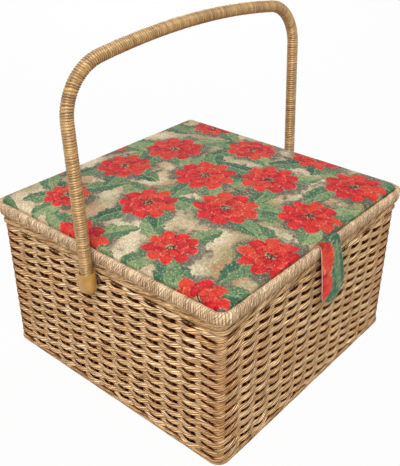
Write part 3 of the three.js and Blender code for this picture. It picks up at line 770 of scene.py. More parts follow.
def borders():
    """Rolls round the mouth and the foot, as wide as their CAD solids.

    The roll of the foot is lower than its solid, which leaves room for one more woven row.
    """
    roll_width = top_of("top_border") - low_of("top_border")
    foot_width = half_of("base_border") - half_of("base_panel")
    foot_top = low_of("base_border") + FOOT_HEIGHT
    # The last value is the reach of painted shade on a roll's top, if any.
    for name, node, width, top, plies, groove, lay, squareness, shaded_top_reach in (
        ("mouth_roll", "top_border", roll_width, top_of("top_border"), 4, 0.1, BORDER_LAY, 2, None),
        ("foot_roll", "base_border", foot_width, foot_top, 5, 0.06, FOOT_LAY, 2.6, 0.43 * foot_width),
    ):
        low = low_of(node)
        half = half_of(node) - width / 2
        corner = max(weave_corner - (weave_middle - half), width / 2 + 0.2 * MM)
        laid_cord(
            name, "basket", node, border_cord, half, corner, (low + top) / 2, width, top - low,
            plies, groove, lay, squareness, shaded_top_reach,
        )


# Lid


def lid_rim():
    """Rim lashed with upright cord: fine ribs of uneven width and fullness all the way round, with painted
    shade between them and a painted highlight along the top.
    """
    low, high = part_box("lid_rim")
    half, corner = lid_half - RIM_WALL / 2, LID_CORNER - RIM_WALL / 2
    ribs = round(square_path(half, corner, 4)[3] / LASH_PITCH / 4) * 4
    run, place, outward, length = square_path(half, corner, ribs * 6, high.z - LASH_HEIGHT / 2)
    angle = ring_angles(24, np.pi)
    full = oval(angle, LASH_SQUARENESS)
    width, height = RIM_WALL - LASH_DEPTH, LASH_HEIGHT - LASH_DEPTH
    across, rise = full * np.cos(angle) * width / 2, full * np.sin(angle) * height / 2
    normal = np.stack([
        np.sign(part) * np.abs(part / size) ** (LASH_SQUARENESS - 1) / size
        for part, size in ((across, width), (rise, height))
    ])
    normal = normal / np.linalg.norm(normal, axis=0)
    wander = 0.5 * LASH_PITCH * soft_noise(run[:, None], rise + 0.2, 9 * MM, noise_table())
    rib = (run[:, None] + wander) / (length / ribs)
    inside = rib % 1
    number = np.floor(rib).astype(int) % ribs
    fullness, shade, strength = uneven(number, ribs, (0.6, 1.0), (-0.8, 0.8), (0.4, 1.0))
    push = LASH_DEPTH * np.sqrt(np.clip(1 - (2 * inside - 1) ** 2, 0, 1)) * fullness
    rings = rings_about(place, outward, UP, across + push * normal[0], rise + push * normal[1])
    # Painted light and shade: lighter at the top and darker lower down, as if lit from above, and painted
    # shade in the creases between ribs, deeper lower down.
    below = ease(0.5, -0.2, rise / height)
    crease = np.minimum(inside, 1 - inside) * (0.7 + 0.3 * fullness)
    gap = strength * (0.65 + 0.35 * below) * (1 - ease(0.08, 0.26, crease))
    paint = cord_paint(RIM_LIGHT, RIM_MID, RIM_DEEP_SHADE, shade + 0.4 - 0.8 * below, gap)
    turn = 2 * np.pi * run / LASH_PITCH * 0.1
    piece = rings_piece("lid_rim_lashing", rings[None], paint[None], True, 12, run, turn)
    place_piece(piece, "lid", lashing_cord, "cord", "lid_rim")
    cord_height = (high.z - low.z - LASH_HEIGHT) / len(RIM_CORD_SETBACKS)
    for index, setback in enumerate(RIM_CORD_SETBACKS):
        half = lid_half - setback - RIM_CORD_WIDTH / 2
        z = low.z + (index + 0.5) * cord_height
        laid_cord(
            f"rim_cord_{index + 1}", "lid", "lid_rim", cord, half, LID_CORNER - (lid_half - half), z,
            RIM_CORD_WIDTH, 1.15 * cord_height, 4, 0.16, CORD_LAY, 2.4,
        )


def round_corners(x, y, half, corner):
    """Moves the corner squares of a grid into quarter rounds."""
    straight = half - corner
    u = np.clip((np.abs(x) - straight) / corner, 0, 1)
    v = np.clip((np.abs(y) - straight) / corner, 0, 1)
    both = (u > 0) & (v > 0)
    reach = np.maximum(u, v)
    angle = np.where(u >= v, v / np.maximum(u, 1e-9), 2 - u / np.maximum(v, 1e-9)) * np.pi / 4
    new_x = np.where(both, np.sign(x) * (straight + corner * reach * np.cos(angle)), x)
    new_y = np.where(both, np.sign(y) * (straight + corner * reach * np.sin(angle)), y)
    return new_x, new_y


def panel_piece(name, half, corner, edge_z, back_z, edge_round, cells, heights, colours=None):
    """A closed square pad: a fine grid on its face, a rounded edge, and a flat back.

    Heights gives how far the face stands above its edge, towards the side away from the back.
    """
    facing = 1 if edge_z > back_z else -1
    face_half, face_corner = half - edge_round, max(corner - edge_round, 1 * MM)
    line = np.linspace(-face_half, face_half, cells + 1)
    x, y = round_corners(*np.meshgrid(line, line, indexing="ij"), face_half, face_corner)
    face = np.stack([x, y, edge_z + facing * heights(x, y)], axis=-1).reshape(-1, 3)
    index = np.arange(len(face)).reshape(cells + 1, cells + 1)
    quads = np.stack([index[:-1, :-1], index[1:, :-1], index[1:, 1:], index[:-1, 1:]], axis=-1)
    rim = np.concatenate([index[:-1, 0], index[-1, :-1], index[:0:-1, -1], index[0, :0:-1]])
    edge = face[rim]
    straight = face_half - face_corner
    direction = unit(edge[:, :2] - np.clip(edge[:, :2], -straight, straight))
    start = 0.06
    drops = [
        (edge_round * math.sin(bend), edge_round * (math.cos(start) - math.cos(bend)), edge_round * bend)
        for bend in np.linspace(start, np.pi / 2, 7)[1:]
    ]
    depth = abs(edge_z - back_z)
    drops.append((edge_round, depth, edge_round * np.pi / 2 + depth))
    points, unrolled = [face], [face[:, :2]]
    for out, drop, length in drops:
        ring = edge.copy()
        ring[:, :2] += out * direction
        ring[:, 2] -= facing * drop
        points.append(ring)
        unrolled.append(edge[:, :2] + length * direction)
    points[-1][:, 2] = back_z
    points, unrolled = np.concatenate(points), np.concatenate(unrolled)
    loops = [rim] + [len(face) + i * len(rim) + np.arange(len(rim)) for i in range(len(drops))]
    skirts = [
        np.stack([first, second, np.roll(second, -1), np.roll(first, -1)], axis=-1)
        for first, second in zip(loops, loops[1:])
    ]
    quads = np.concatenate([quads.reshape(-1, 4), *skirts])
    back = loops[-1][None, ::-1]
    corners = np.append(quads, back)
    maps = {"OFBake": unrolled[corners] / (2 * np.abs(unrolled).max()) + 0.5, "Lay": unrolled[corners]}
    return new_piece(name, points, [quads, back], maps, colours(*unrolled.T) if colours else None)


def dome(half, crown):
    """Swell of a pad that is fullest in its middle, with small puckers where its edge is tucked in."""
    table = noise_table()

    def height(x, y):
        u, v = np.clip(np.abs(x) / half, 0, 1), np.clip(np.abs(y) / half, 0, 1)
        swell = (1 - u ** PAD_FULLNESS) * (1 - v ** PAD_FULLNESS)
        near = ease(0.7, 0.9, np.maximum(u, v)) * ease(1, 0.9, np.maximum(u, v))
        along = np.where(u > v, y, x)
        return crown * swell + PUCKER * near * soft_noise(along, np.maximum(u, v) * 0.01, 7 * MM, table)

    return height


# Printed cloth: red many-petalled flowers and green leaves, scattered on a mottled ground


def polar(x, y, place):
    """Angle and distance of places from one place."""
    return np.arctan2(y - place[1], x - place[0]), np.hypot(x - place[0], y - place[1])


def paint_leaf(colours, x, y, place, heading, length, width, tone, table):
    """A ruffled leaf with a pale midrib. Its tone runs from 0, dark, to 1, pale."""
    along = (x - place[0]) * math.cos(heading) + (y - place[1]) * math.sin(heading)
    side = (y - place[1]) * math.cos(heading) - (x - place[0]) * math.sin(heading)
    share = along / length
    ruffle = 1 + 0.16 * soft_noise(along, np.sign(side) + 3, 3.2 * MM, table)
    half = width / 2 * np.sin(np.pi * np.clip(share, 0, 1)) ** 0.75 * (1.2 - 0.5 * share) * ruffle
    inside = (share > 0) & (share < 1) & (np.abs(side) < half)
    if not inside.any():
        return
    side, half, along = side[inside], half[inside], along[inside]
    vein = np.abs(np.sin((along - 1.2 * np.abs(side)) / (6.5 * MM) * np.pi))
    brush = soft_noise(along, side * 3, 5 * MM, table)
    brush = brush + 0.6 * soft_noise(x[inside], y[inside], 1.7 * MM, table)
    lit = ease(-0.5, 1.0, 0.45 * np.sign(side) + 0.6 * brush + 0.3 * vein)
    edge = half - np.abs(side)
    colours[inside] = layered(
        blend_colours(GREEN_DARK, GREEN_MID, tone),
        (blend_colours(GREEN_MID, GREEN_PALE, tone), lit),
        (GREEN_PALE, 0.7 * ease(1.0 * MM, 0.3 * MM, np.abs(side))),
        (TEAL_DARK, 0.5 * ease(0.3, 0.05, vein) * ease(0.2, 0.6, np.abs(side) / half)),
        (GREEN_PALE, 0.5 * ease(1.6 * MM, 0.8 * MM, edge) * ease(-0.2, 0.6, brush)),
        (TEAL_DARK, 0.7 * ease(0.8 * MM, 0.2 * MM, edge)),
    )


def paint_petals(colours, x, y, place, radius, petals, heading, light, table):
    """A ring of broad red petals, each with its own tone and brush streaks."""
    angle, distance = polar(x, y, place)
    angle = angle - heading
    lobe = np.abs(np.cos(petals * angle / 2))
    wave = soft_noise(np.cos(angle) + 2, np.sin(angle) + 2, 0.16, table)
    edge = radius * (0.68 + 0.32 * lobe ** 0.6) * (1 + 0.06 * wave)
    inside = distance < edge
    if not inside.any():
        return
    lobe, distance, edge, angle = lobe[inside], distance[inside], edge[inside], angle[inside]
    petal = np.round(angle * petals / (2 * np.pi)).astype(int) % petals
    own = table[petal, (petal * 7 + 3) % len(table)]
    streak = soft_noise(angle * 70 * MM, distance * 0.22, 1.5 * MM, table)
    wash = soft_noise(x[inside], y[inside], 6 * MM, table)
    tone = 0.3 + 0.6 * distance / radius + 0.25 * streak + 0.3 * wash + 0.25 * own - 0.4 * (1 - lobe)
    rim = ease(1.3 * MM, 0.4 * MM, edge - distance) * ease(-0.4, 0.5, streak + wash)
    colours[inside] = layered(
        RED_DARK,
        (light, ease(0.0, 1.0, tone)),
        (RED_WARM, 0.6 * ease(0.2, 0.9, own + 0.5 * wash)),
        (RED_DARK * 0.45, 0.85 * ease(0.3, 0.08, lobe) * ease(0.95, 0.5, distance / radius)),
        (PETAL_EDGE, 0.8 * rim),
    )


def paint_centre(colours, x, y, place, radius, table):
    """Dark heart of a flower, with pale stamens round it."""
    angle, distance = polar(x, y, place)
    inside = distance / radius < 1.5
    share = distance[inside] / radius
    seeds = soft_noise(x[inside], y[inside], 1.2 * MM, table)
    rays = soft_noise(angle[inside] * 12 * MM, 0, 1.1 * MM, table)
    colours[inside] = layered(
        colours[inside],
        (TEAL_DARK * 0.7, 0.9 * ease(1.05, 0.75, share + 0.25 * rays)),
        (blend_colours(GOLD, CREAM, 0.4), 0.75 * ease(0.2, 0.5, seeds) * ease(1.4, 1.0, share)),
    )


def paint_flower(colours, x, y, place, radius, heading, table):
    for size, turn in ((radius, heading), (0.6 * radius, heading + np.pi / FLOWER_PETALS)):
        paint_petals(colours, x, y, place, size, FLOWER_PETALS, turn, RED_BRIGHT, table)
    paint_centre(colours, x, y, place, 0.17 * radius, table)


def flower_places(half):
    """Flowers in staggered rows, each a little out of line."""
    places = []
    count = math.ceil(half / FLOWER_SPACING) + 1
    for row in range(-count, count + 1):
        for column in range(-count, count + 1):
            x = (column + 0.5 * (row % 2) + 0.22) * FLOWER_SPACING
            y = (row + 0.31) * FLOWER_SPACING * 0.86
            shift = random.uniform(-9, 9, 2) * MM
            places.append((x + shift[0], y + shift[1]))
    return [place for place in places if max(map(abs, place)) < half + FLOWER_RADIUS]


def stitched(colours, seed):
    """Tapestry stitches: each place a little lighter or darker, with pale threads, fewer of them on red."""
    stitches = np.random.default_rng(seed)
    redness = ease(0.05, 0.4, colours[:, 0] - colours[:, 1])
    colours = colours * stitches.uniform(0.74, 1.22, len(colours))[:, None]
    return blend_colours(colours, CREAM, (0.4 - 0.3 * redness) * (stitches.random(len(colours)) < 0.07))


def cloth_ground(x, y, tables):
    """Mottled ground, from cream to olive, with a warm blush in places."""
    mottle = soft_noise(x, y, 6 * MM, tables[2]) + 0.6 * soft_noise(x, y, 2 * MM, tables[3])
    pale = ease(-0.6, 0.8, soft_noise(x, y, 24 * MM, tables[1]) + 0.4 * mottle)
    olive = ease(0.0, 0.7, soft_noise(x, y, 36 * MM, tables[0]) + 0.3 * mottle)
    blush = ease(0.25, 0.8, soft_noise(x + 0.3, y, 28 * MM, tables[3]) + 0.25 * mottle)
    return layered(BEIGE, (CREAM, pale), (OLIVE, 0.75 * olive), (BLUSH, 0.5 * blush)), mottle


def cloth_print(half):
    """Gives a function that colours any place on the lid cloth."""
    tables = [noise_table() for _ in range(4)]
    flowers = flower_places(half)
    sizes = random.uniform(0.8, 1.15, len(flowers)) * FLOWER_RADIUS
    headings = random.uniform(0, 2 * np.pi, (len(flowers), LEAVES_PER_FLOWER + 1))
    tones = random.uniform(0, 1, (len(flowers), LEAVES_PER_FLOWER))

    def colours(x, y):
        x = x + PRINT_WARP * soft_noise(x, y, 8 * MM, tables[0])
        y = y + PRINT_WARP * soft_noise(y, x, 8 * MM, tables[1])
        result, mottle = cloth_ground(x, y, tables)
        for place, size in zip(flowers, sizes):
            distance = np.hypot(x - place[0], y - place[1] + 4 * MM) / size
            result = blend_colours(result, TEAL_DARK, 0.75 * ease(1.4, 1.0, distance + 0.2 * mottle))
        for place, size, turns, tone in zip(flowers, sizes, headings, tones):
            for leaf in range(LEAVES_PER_FLOWER):
                share = (leaf + 0.35 * math.sin(7 * turns[leaf])) / LEAVES_PER_FLOWER
                heading = turns[0] + 2 * np.pi * share
                start = np.array(place) + 0.55 * size * np.array([math.cos(heading), math.sin(heading)])
                bend = heading + 0.6 * math.sin(3 * turns[leaf + 1])
                length = LEAF_LENGTH * (0.75 + 0.5 * tone[leaf - 1])
                paint_leaf(result, x, y, start, bend, length, LEAF_WIDTH, tone[leaf], tables[3])
        for place, size, turns in zip(flowers, sizes, headings):
            paint_flower(result, x, y, place, size, turns[-1], tables[2])
        return stitched(PRINT_DEPTH * result, SEED + 1)

    return colours


def lid_pad():
    """Printed cloth drawn over a soft filling, with a low crown inside of the rim."""
    inset = RIM_WALL + PAD_GAP
    half = lid_half - inset
    low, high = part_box("lid_cover")
    edge_z = top_of("lid_rim") + PAD_EDGE_RISE
    swell = dome(half - PAD_EDGE_ROUND, high.z - edge_z)
    piece = panel_piece(
        "lid_pad", half, LID_CORNER - inset, edge_z, low.z, PAD_EDGE_ROUND, PAD_CELLS, swell,
        cloth_print(half),
    )
    place_piece(piece, "lid", print_cloth, "lid_cloth", "lid_cover", "lid_foam")


def lid_underside():
    """Cloth lining under the lid and the wire hoop round it."""
    low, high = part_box("lid_lining")
    table = noise_table()

    def ripples(x, y):
        return RIPPLE * (1 + soft_noise(x, y, 24 * MM, table))

    corner = LID_CORNER - (lid_half - high.x)
    panel = panel_piece("lid_underside", high.x, corner, low.z + 2 * RIPPLE, high.z, 0.8 * MM, 90, ripples)
    place_piece(panel, "lid", lining_cloth, "lining_cloth", "lid_lining")
    radius = (top_of("lid_wire") - low_of("lid_wire")) / 2
    level = low_of("lid_wire") + radius
    wire_hoops("lid_hoop", "lid", "lid_wire", radius, [level], lid_half, LID_CORNER, 200, 12)


def pin_cushion():
    """Round stuffed cushion, gathered into pleats where it meets the lid."""
    low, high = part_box("pin_cushion")
    radius, thickness = high.x, high.z - low.z
    levels, tuck = 26, math.radians(122)
    angle = ring_angles(144)
    share = np.arange(levels)[:, None] / (levels - 1)
    bend = (0.02 + 0.98 * share) * tuck
    fold = PLEAT_DEPTH * (ease(0.45, 1, share) * np.cos(PLEATS * angle) - 1)
    reach = radius * np.sin(bend) ** 0.7 + fold
    z = low.z + thickness * (1 - np.cos(bend)) / (1 - math.cos(tuck))
    rings = np.stack([reach * np.cos(angle), reach * np.sin(angle), z + 0 * reach], axis=-1)
    run = np.arange(levels) * (radius * 1.3 / levels)
    piece = rings_piece("pin_pad", rings[None], None, False, 1, run)
    place_piece(piece, "lid", cushion_cloth, "cushion_cloth", "pin_cushion")


def hinge_loops():
    """Cord loops round the back of the mouth border, with some turns of twisted cord in each."""
    low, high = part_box("top_border")
    border_radius = (high.z - low.z) / 2
    centre_y, centre_z = high.x - border_radius, (high.z + low.z) / 2
    angle = ring_angles(96)
    outward = np.stack([0 * angle, np.cos(angle), np.sin(angle)], axis=-1)
    turn = angle * LOOP_TURNS
    for name in ("hinge_loop_left", "hinge_loop_right"):
        loop_low, loop_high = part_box(name)
        outer = loop_high.y - centre_y
        thickness = outer - border_radius - 0.3 * MM
        radius = outer - thickness / 2
        lift = (loop_high.z - outer - centre_z) * ease(-0.25, 0.25, np.sin(angle))
        centres = radius * outward + [0, centre_y, centre_z] + lift[:, None] * UP
        width = (loop_high.x - loop_low.x) / LOOP_TURNS
        strands, paints = [], []
        for strand in range(LOOP_TURNS):
            x = loop_low.x + (strand + 0.5) * width
            rings, _, lobe, _ = cord_rings(
                centres + [x, 0, 0], outward, thickness, width, 12, 2, 0.2, turn + strand, up=[1.0, 0, 0],
            )
            strands.append(rings)
            # Painted shade in the grooves between the plies.
            paints.append(cord_paint(CORD_LIGHT, CORD_MID, CORD_DEEP_SHADE, 0 * lobe, 0.4 * (1 - lobe)))
        piece = rings_piece(f"{name}_cord", strands, np.array(paints), True, 1, radius * angle, turn)
        place_piece(piece, "lid", cord, "cord", name)


# Pull tab


def smooth_line(points, count):
    """Even places along a smooth curve through some points in Y and Z, with its directions."""
    points = np.array(points)
    padded = np.concatenate([[2 * points[0] - points[1]], points, [2 * points[-1] - points[-2]]])
    fine = []
    for i in range(1, len(padded) - 2):
        p0, p1, p2, p3 = padded[i - 1:i + 3]
        for t in np.linspace(0, 1, 40, endpoint=False):
            fine.append(0.5 * (
                2 * p1 + (p2 - p0) * t + (2 * p0 - 5 * p1 + 4 * p2 - p3) * t ** 2
                + (3 * p1 - p0 - 3 * p2 + p3) * t ** 3
            ))
    fine = np.array(fine + [points[-1]])
    run = run_along(fine)
    even = np.linspace(0, run[-1], count)
    line = np.stack([np.interp(even, run, fine[:, 0]), np.interp(even, run, fine[:, 1])], axis=-1)
    return even, line, unit(np.gradient(line, axis=0))


def tab():
    """Padded cloth tab over the front of the rim, with a round end and corded edges."""
    low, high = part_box("lid_tab")
    half = TAB_THICKNESS / 2
    rim_top = top_of("lid_rim")
    seam_y = -(lid_half - RIM_WALL / 2)
    seam_z = rim_top + TAB_GAP + half
    face_y = -(lid_half + TAB_GAP + half)
    rows, sides = 90, 48
    run, line, heading = smooth_line([
        (seam_y + 1.2 * MM, seam_z - 0.6 * MM),
        (seam_y - 0.6 * MM, seam_z + TAB_PUFF),
        (face_y + 0.2 * MM, seam_z + 0.3 * TAB_PUFF),
        (face_y - 1.2 * MM, rim_top - TAB_THICKNESS),
        (face_y - TAB_BOW / 2, rim_top - TAB_BOW_DROP / 3),
        (face_y - TAB_BOW, rim_top - TAB_BOW_DROP),
        (face_y - TAB_BOW + 0.6 * MM, low.z + 0.4 * MM),
    ], rows)
    outward = np.stack([0 * run, heading[:, 1], -heading[:, 0]], axis=-1)
    left_round, right_round = [
        (1 - np.clip(1 - (run[-1] - run) / length, 0, 1) ** TAB_BLUNTNESS) ** (1 / TAB_BLUNTNESS)
        for length in (TAB_LEFT_ROUND, TAB_RIGHT_ROUND)
    ]
    seam_half = high.x - TAB_NARROWING
    left_edge = TAB_TIP - (TAB_TIP + seam_half) * left_round
    right_edge = TAB_TIP + (seam_half + TAB_FLARE * ease(0.05, 0.75, run / run[-1]) - TAB_TIP) * right_round
    width = np.maximum((right_edge - left_edge) / 2, 0.8 * MM)
    spine = np.column_stack([(right_edge + left_edge) / 2, line])
    angle = ring_angles(sides)
    full = oval(angle, TAB_SQUARENESS)
    x = width[:, None] * full * np.cos(angle)
    puff = half * full * np.sin(angle)
    strap = rings_about(spine, outward, [1.0, 0, 0], puff, x)
    table = noise_table()
    flat_x, flat_y = x.ravel(), np.repeat(run, sides)
    mottle = ease(-0.7, 0.9, soft_noise(flat_x, flat_y, 3 * MM, table))
    colours = blend_colours(GREEN_DARK, GREEN_MID, mottle)
    paint_leaf(colours, flat_x, flat_y, *TAB_LEAF, table)
    for place, radius, turn in TAB_PETALS:
        paint_petals(colours, flat_x, flat_y, place, radius, 4, turn, 0.8 * RED_BRIGHT, table)
    colours = stitched(colours, SEED + 2)
    piece = rings_piece("tab_strap", strap[None], colours, False, 1, run)
    sewn_end = (0, seam_y + 0.8 * MM, seam_z)
    free_end = (0, seam_y - 1.4 * MM, seam_z)
    seam = (sewn_end, free_end)
    place_piece(piece, ("lid", "tab"), print_cloth, "lid_cloth", "lid_tab", bend=seam)

    edge = np.concatenate([np.arange(rows), np.arange(rows - 1)[::-1]])
    sign = np.concatenate([np.full(rows - 1, 1.0), [0.0], np.full(rows - 1, -1.0)])
    path, front = spine[edge], outward[edge]
    path[:, 0] += sign * width[edge]
    aside = np.cross(unit(np.gradient(path, axis=0)), front)
    piping = round_rods("tab_piping", [(path, front, aside)], PIPING_RADIUS, 10)
    place_piece(piping, ("lid", "tab"), piping_cloth, "lid_cloth", bend=seam)


# Handle


def handle_line(start, steps):
    """Middle line of the handle from one arm to the other, with outward directions, leaning back."""
    straight = HANDLE_RISE - BEND_RADIUS
    bar_radius = (arm_x - BEND_RADIUS) / math.sin(BAR_ARCH) + BEND_RADIUS
    bar_centre = straight - (bar_radius - BEND_RADIUS) * math.cos(BAR_ARCH)
    arm_run, bend_run = straight - start, BEND_RADIUS * (math.pi / 2 - BAR_ARCH)
    whole = 2 * (arm_run + bend_run + bar_radius * BAR_ARCH)
    run = np.linspace(0, whole, steps)
    rest = np.minimum(run, whole - run)
    sign = np.where(run < whole / 2, -1.0, 1.0)
    past_bend = np.maximum(rest - arm_run - bend_run, 0)
    angle = np.clip(rest - arm_run, 0, bend_run) / BEND_RADIUS + past_bend / bar_radius
    on_bar = past_bend > 0
    radius = np.where(on_bar, bar_radius, BEND_RADIUS)
    x = np.where(on_bar, 0, arm_x - BEND_RADIUS) + radius * np.cos(angle)
    z = np.where(on_bar, bar_centre, straight) + radius * np.sin(angle) - np.maximum(arm_run - rest, 0)
    centres = np.stack([sign * x, 0 * x, z], axis=-1)
    outward = np.stack([sign * np.cos(angle), 0 * x, np.sin(angle)], axis=-1)
    return run, lean(centres) + [0, 0, pivot_z], lean(outward), whole


def lean(points):
    """Turns places or directions back by the handle's lean."""
    cosine, sine = math.cos(HANDLE_LEAN), math.sin(HANDLE_LEAN)
    turn = np.array([[1, 0, 0], [0, cosine, sine], [0, -sine, cosine]])
    return points @ turn.T


def handle_wrap():
    """Cord wound round the handle from cup to cup, one rib to a turn, with uneven turns and painted shade in
    the grooves between them.
    """
    turns = round(handle_line(WRAP_START, 2)[3] / WRAP_PITCH)
    run, centres, outward, _ = handle_line(WRAP_START, turns * 9 + 1)
    table = noise_table()
    slip = 0.35 * soft_noise(run, 0, 13 * MM, table) + 0.25 * soft_noise(run, 1, 4 * MM, table)
    turn = 2 * np.pi * (run / WRAP_PITCH + slip)
    angle = ring_angles(32)
    phase = (turn[:, None] - angle + np.pi) / (2 * np.pi)
    bend = 7 * MM * np.sin(angle) + 1
    phase = phase + 0.25 * soft_noise(run[:, None], bend, 9 * MM, table)
    number = np.floor(phase).astype(int) + 4
    lobe = np.sin(np.pi * (phase % 1)) ** 0.7
    fullness, shade, strength = uneven(number, number.max() + 4, (0.5, 1.0), (-0.6, 0.6), (0.5, 1.0))
    reach = WRAP_RADIUS * (1 - WRAP_GROOVE * (1 - lobe * (0.7 + 0.3 * fullness)))
    sideways = lean(np.array([0, -1.0, 0]))
    rings = rings_about(centres, outward, sideways, reach * np.cos(angle), reach * np.sin(angle))
    # Painted shade in the grooves between turns, in patches and of uneven strength.
    patch = soft_noise(run[:, None] + 4 * MM * np.cos(angle), bend, 3 * MM, table)
    broken = 0.25 + 0.75 * ease(-0.45, 0.35, patch)
    gap = strength * broken * (1 - ease(0.4, 1, lobe))
    paint = cord_paint(HANDLE_LIGHT, HANDLE_MID, HANDLE_DEEP_SHADE, shade, gap)
    piece = rings_piece("handle_winding", rings[None], paint[None], False, 16, run, turn)
    place_piece(piece, "handle", glossy_cord, "handle_cord", "handle_wrap", "handle_core")


def turned_piece(name, profile, place, axis, first, looped=False, sides=64):
    """A turned piece from a profile of (radius, height along its axis) about a place."""
    axis, first = np.array(axis, float), np.array(first, float)
    angle = ring_angles(sides)[:, None]
    around = np.cos(angle) * first + np.sin(angle) * np.cross(axis, first)
    rings = np.array([place + max(r, 0.01 * MM) * around + h * axis for r, h in profile])
    return rings_piece(name, rings[None], None, looped, 1)


def rounded_profile(corners, radius, steps=4):
    """A profile with each inner corner rounded off by a small arc, as moulded edges are."""
    corners = [np.array(corner, float) for corner in corners]
    result = [corners[0]]
    for before, corner, after in zip(corners, corners[1:], corners[2:]):
        back, ahead = before - corner, after - corner
        reach = min(radius, 0.45 * np.linalg.norm(back), 0.45 * np.linalg.norm(ahead))
        start, end = corner + unit(back) * reach, corner + unit(ahead) * reach
        for t in np.linspace(0, 1, steps):
            result.append((1 - t) ** 2 * start + 2 * t * (1 - t) * corner + t ** 2 * end)
    return result + [corners[-1]]


def ferrules():
    """Moulded end cups, with a thick lip where the winding goes in."""
    profile = rounded_profile([
        (0, CUP_FOOT),
        (0.96 * CUP_RADIUS, CUP_FOOT),
        (CUP_RADIUS, CUP_SHOULDER),
        (CUP_RADIUS, CUP_TOP),
        (CUP_BORE, CUP_TOP),
        (CUP_BORE, CUP_FLOOR),
        (0, CUP_FLOOR),
    ], CUP_ROUNDING)
    axis, first = lean(np.array([[0, 0, 1.0], [0, 1.0, 0]]))
    for name, sign in (("left", -1), ("right", 1)):
        cup = turned_piece(f"end_cup_{name}", profile, np.array([sign * arm_x, 0, pivot_z]), axis, first)
        place_piece(cup, "handle", ochre, "ferrule_plastic", f"ferrule_{name}")


def pivots():
    """Screws with domed heads inside the box, washers under them, and spacers outside the wall."""
    place, first = np.array([0, 0, pivot_z]), (0, 1, 0)
    hole, bevel = SHANK_RADIUS + 0.3 * MM, 0.25 * MM
    for name, sign in (("left", -1), ("right", 1)):
        axis = (sign, 0, 0)

        def span(node):
            low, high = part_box(node)
            return (*sorted([sign * low.x, sign * high.x]), high.y)

        start, end, head = span(f"pivot_screw_{name}")
        seat = span(f"pivot_washer_{name}")[0] - 0.3 * MM
        screw = rounded_profile([
            (0, start), (0.6 * head, start), (head, seat - 0.8 * MM), (head, seat),
            (SHANK_RADIUS, seat), (SHANK_RADIUS, end), (0, end),
        ], 0.6 * MM)
        piece = turned_piece(f"screw_{name}", screw, place, axis, first, sides=48)
        place_piece(piece, "pivots", steel, "screw_steel", f"pivot_screw_{name}")
        for kind, material, slot in (
            ("washer", steel, "screw_steel"), ("spacer", spacer_painted_shade, "ferrule_plastic"),
        ):
            inner, outer, radius = span(f"pivot_{kind}_{name}")
            ring = [
                (hole, inner), (radius - bevel, inner), (radius, inner + bevel),
                (radius, outer - bevel), (radius - bevel, outer), (hole, outer),
            ]
            piece = turned_piece(f"{kind}_{name}", ring, place, axis, first, True, 48)
            place_piece(piece, "basket", material, slot, f"pivot_{kind}_{name}")


# Inside and underside


def lining_bag():
    """Cloth bag with a rolled hem, a little slack between its corners, and open at the hinge loops.

    Its back is coloured orange-brown as painted shade: it is only seen in shadow through the gaps of the
    weave, where it makes the slits warm dark brown.
    """
    low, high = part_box("lining")
    outer, inner = high.x, high.x - LINING_THICKNESS
    floor, top = low.z, high.z
    wall = np.linspace(0, 1, 40)
    wall_low = floor + LINING_THICKNESS + 1.5 * MM
    profile = [(share * inner, floor + LINING_THICKNESS) for share in np.linspace(0.02, 0.985, 30)]
    profile += [(inner, wall_low + (top - floor - 4 * MM) * share) for share in wall]
    profile += [(inner + 0.2 * MM, top - 0.4 * MM), (inner + LINING_THICKNESS / 2, top)]
    profile.append((outer - 0.2 * MM, top - 0.4 * MM))
    first_behind = len(profile)
    profile += [(outer, top - 2 * MM - (top - floor - 2 * MM) * share) for share in wall[::4]]
    profile += [(share * outer, floor) for share in (0.6, 0.02)]
    table = noise_table()
    loop_low, loop_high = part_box("hinge_loop_right")
    loop_middle = (loop_low.x + loop_high.x) / 2
    steps = 480
    rings = []
    for half, z in profile:
        corner = max(WALL_CORNER - (half_of("basket_weave") - half), 0.06 * half)
        run, place, outward, _ = square_path(half, corner, steps, z)
        centres = place.copy()
        if half <= inner and z > floor + 2 * LINING_THICKNESS and z < top - 3 * MM:
            slack = -LINING_SLACK * (1 + soft_noise(run, z, 26 * MM, table))
            centres += slack[:, None] * outward
        if half <= 0.97 * inner:
            centres[:, 2] += 0.25 * MM * (1 + soft_noise(place[:, 0] + 1, place[:, 1] + 1, 22 * MM, table))
        gap = ease(9 * MM, 5 * MM, np.abs(np.abs(place[:, 0]) - loop_middle)) * (place[:, 1] > 0.9 * inner)
        centres[:, 2] -= gap * 9 * MM * ease(top - 16 * MM, top, z)
        rings.append(centres)
    # Painted shade: the outer face, seen through the weave, takes the brown back colour.
    behind = np.broadcast_to(np.arange(len(profile))[:, None] >= first_behind, (len(profile), steps))
    paint = blend_colours(LINING_FACE, LINING_BACK_SHADE, behind)
    piece = rings_piece(
        "lining_bag", np.array(rings)[None], paint[None], False, 1, run_along(profile),
        girth=inner * 8 / (2 * np.pi),
    )
    place_piece(piece, "basket", bag_cloth, "lining_cloth", "lining")


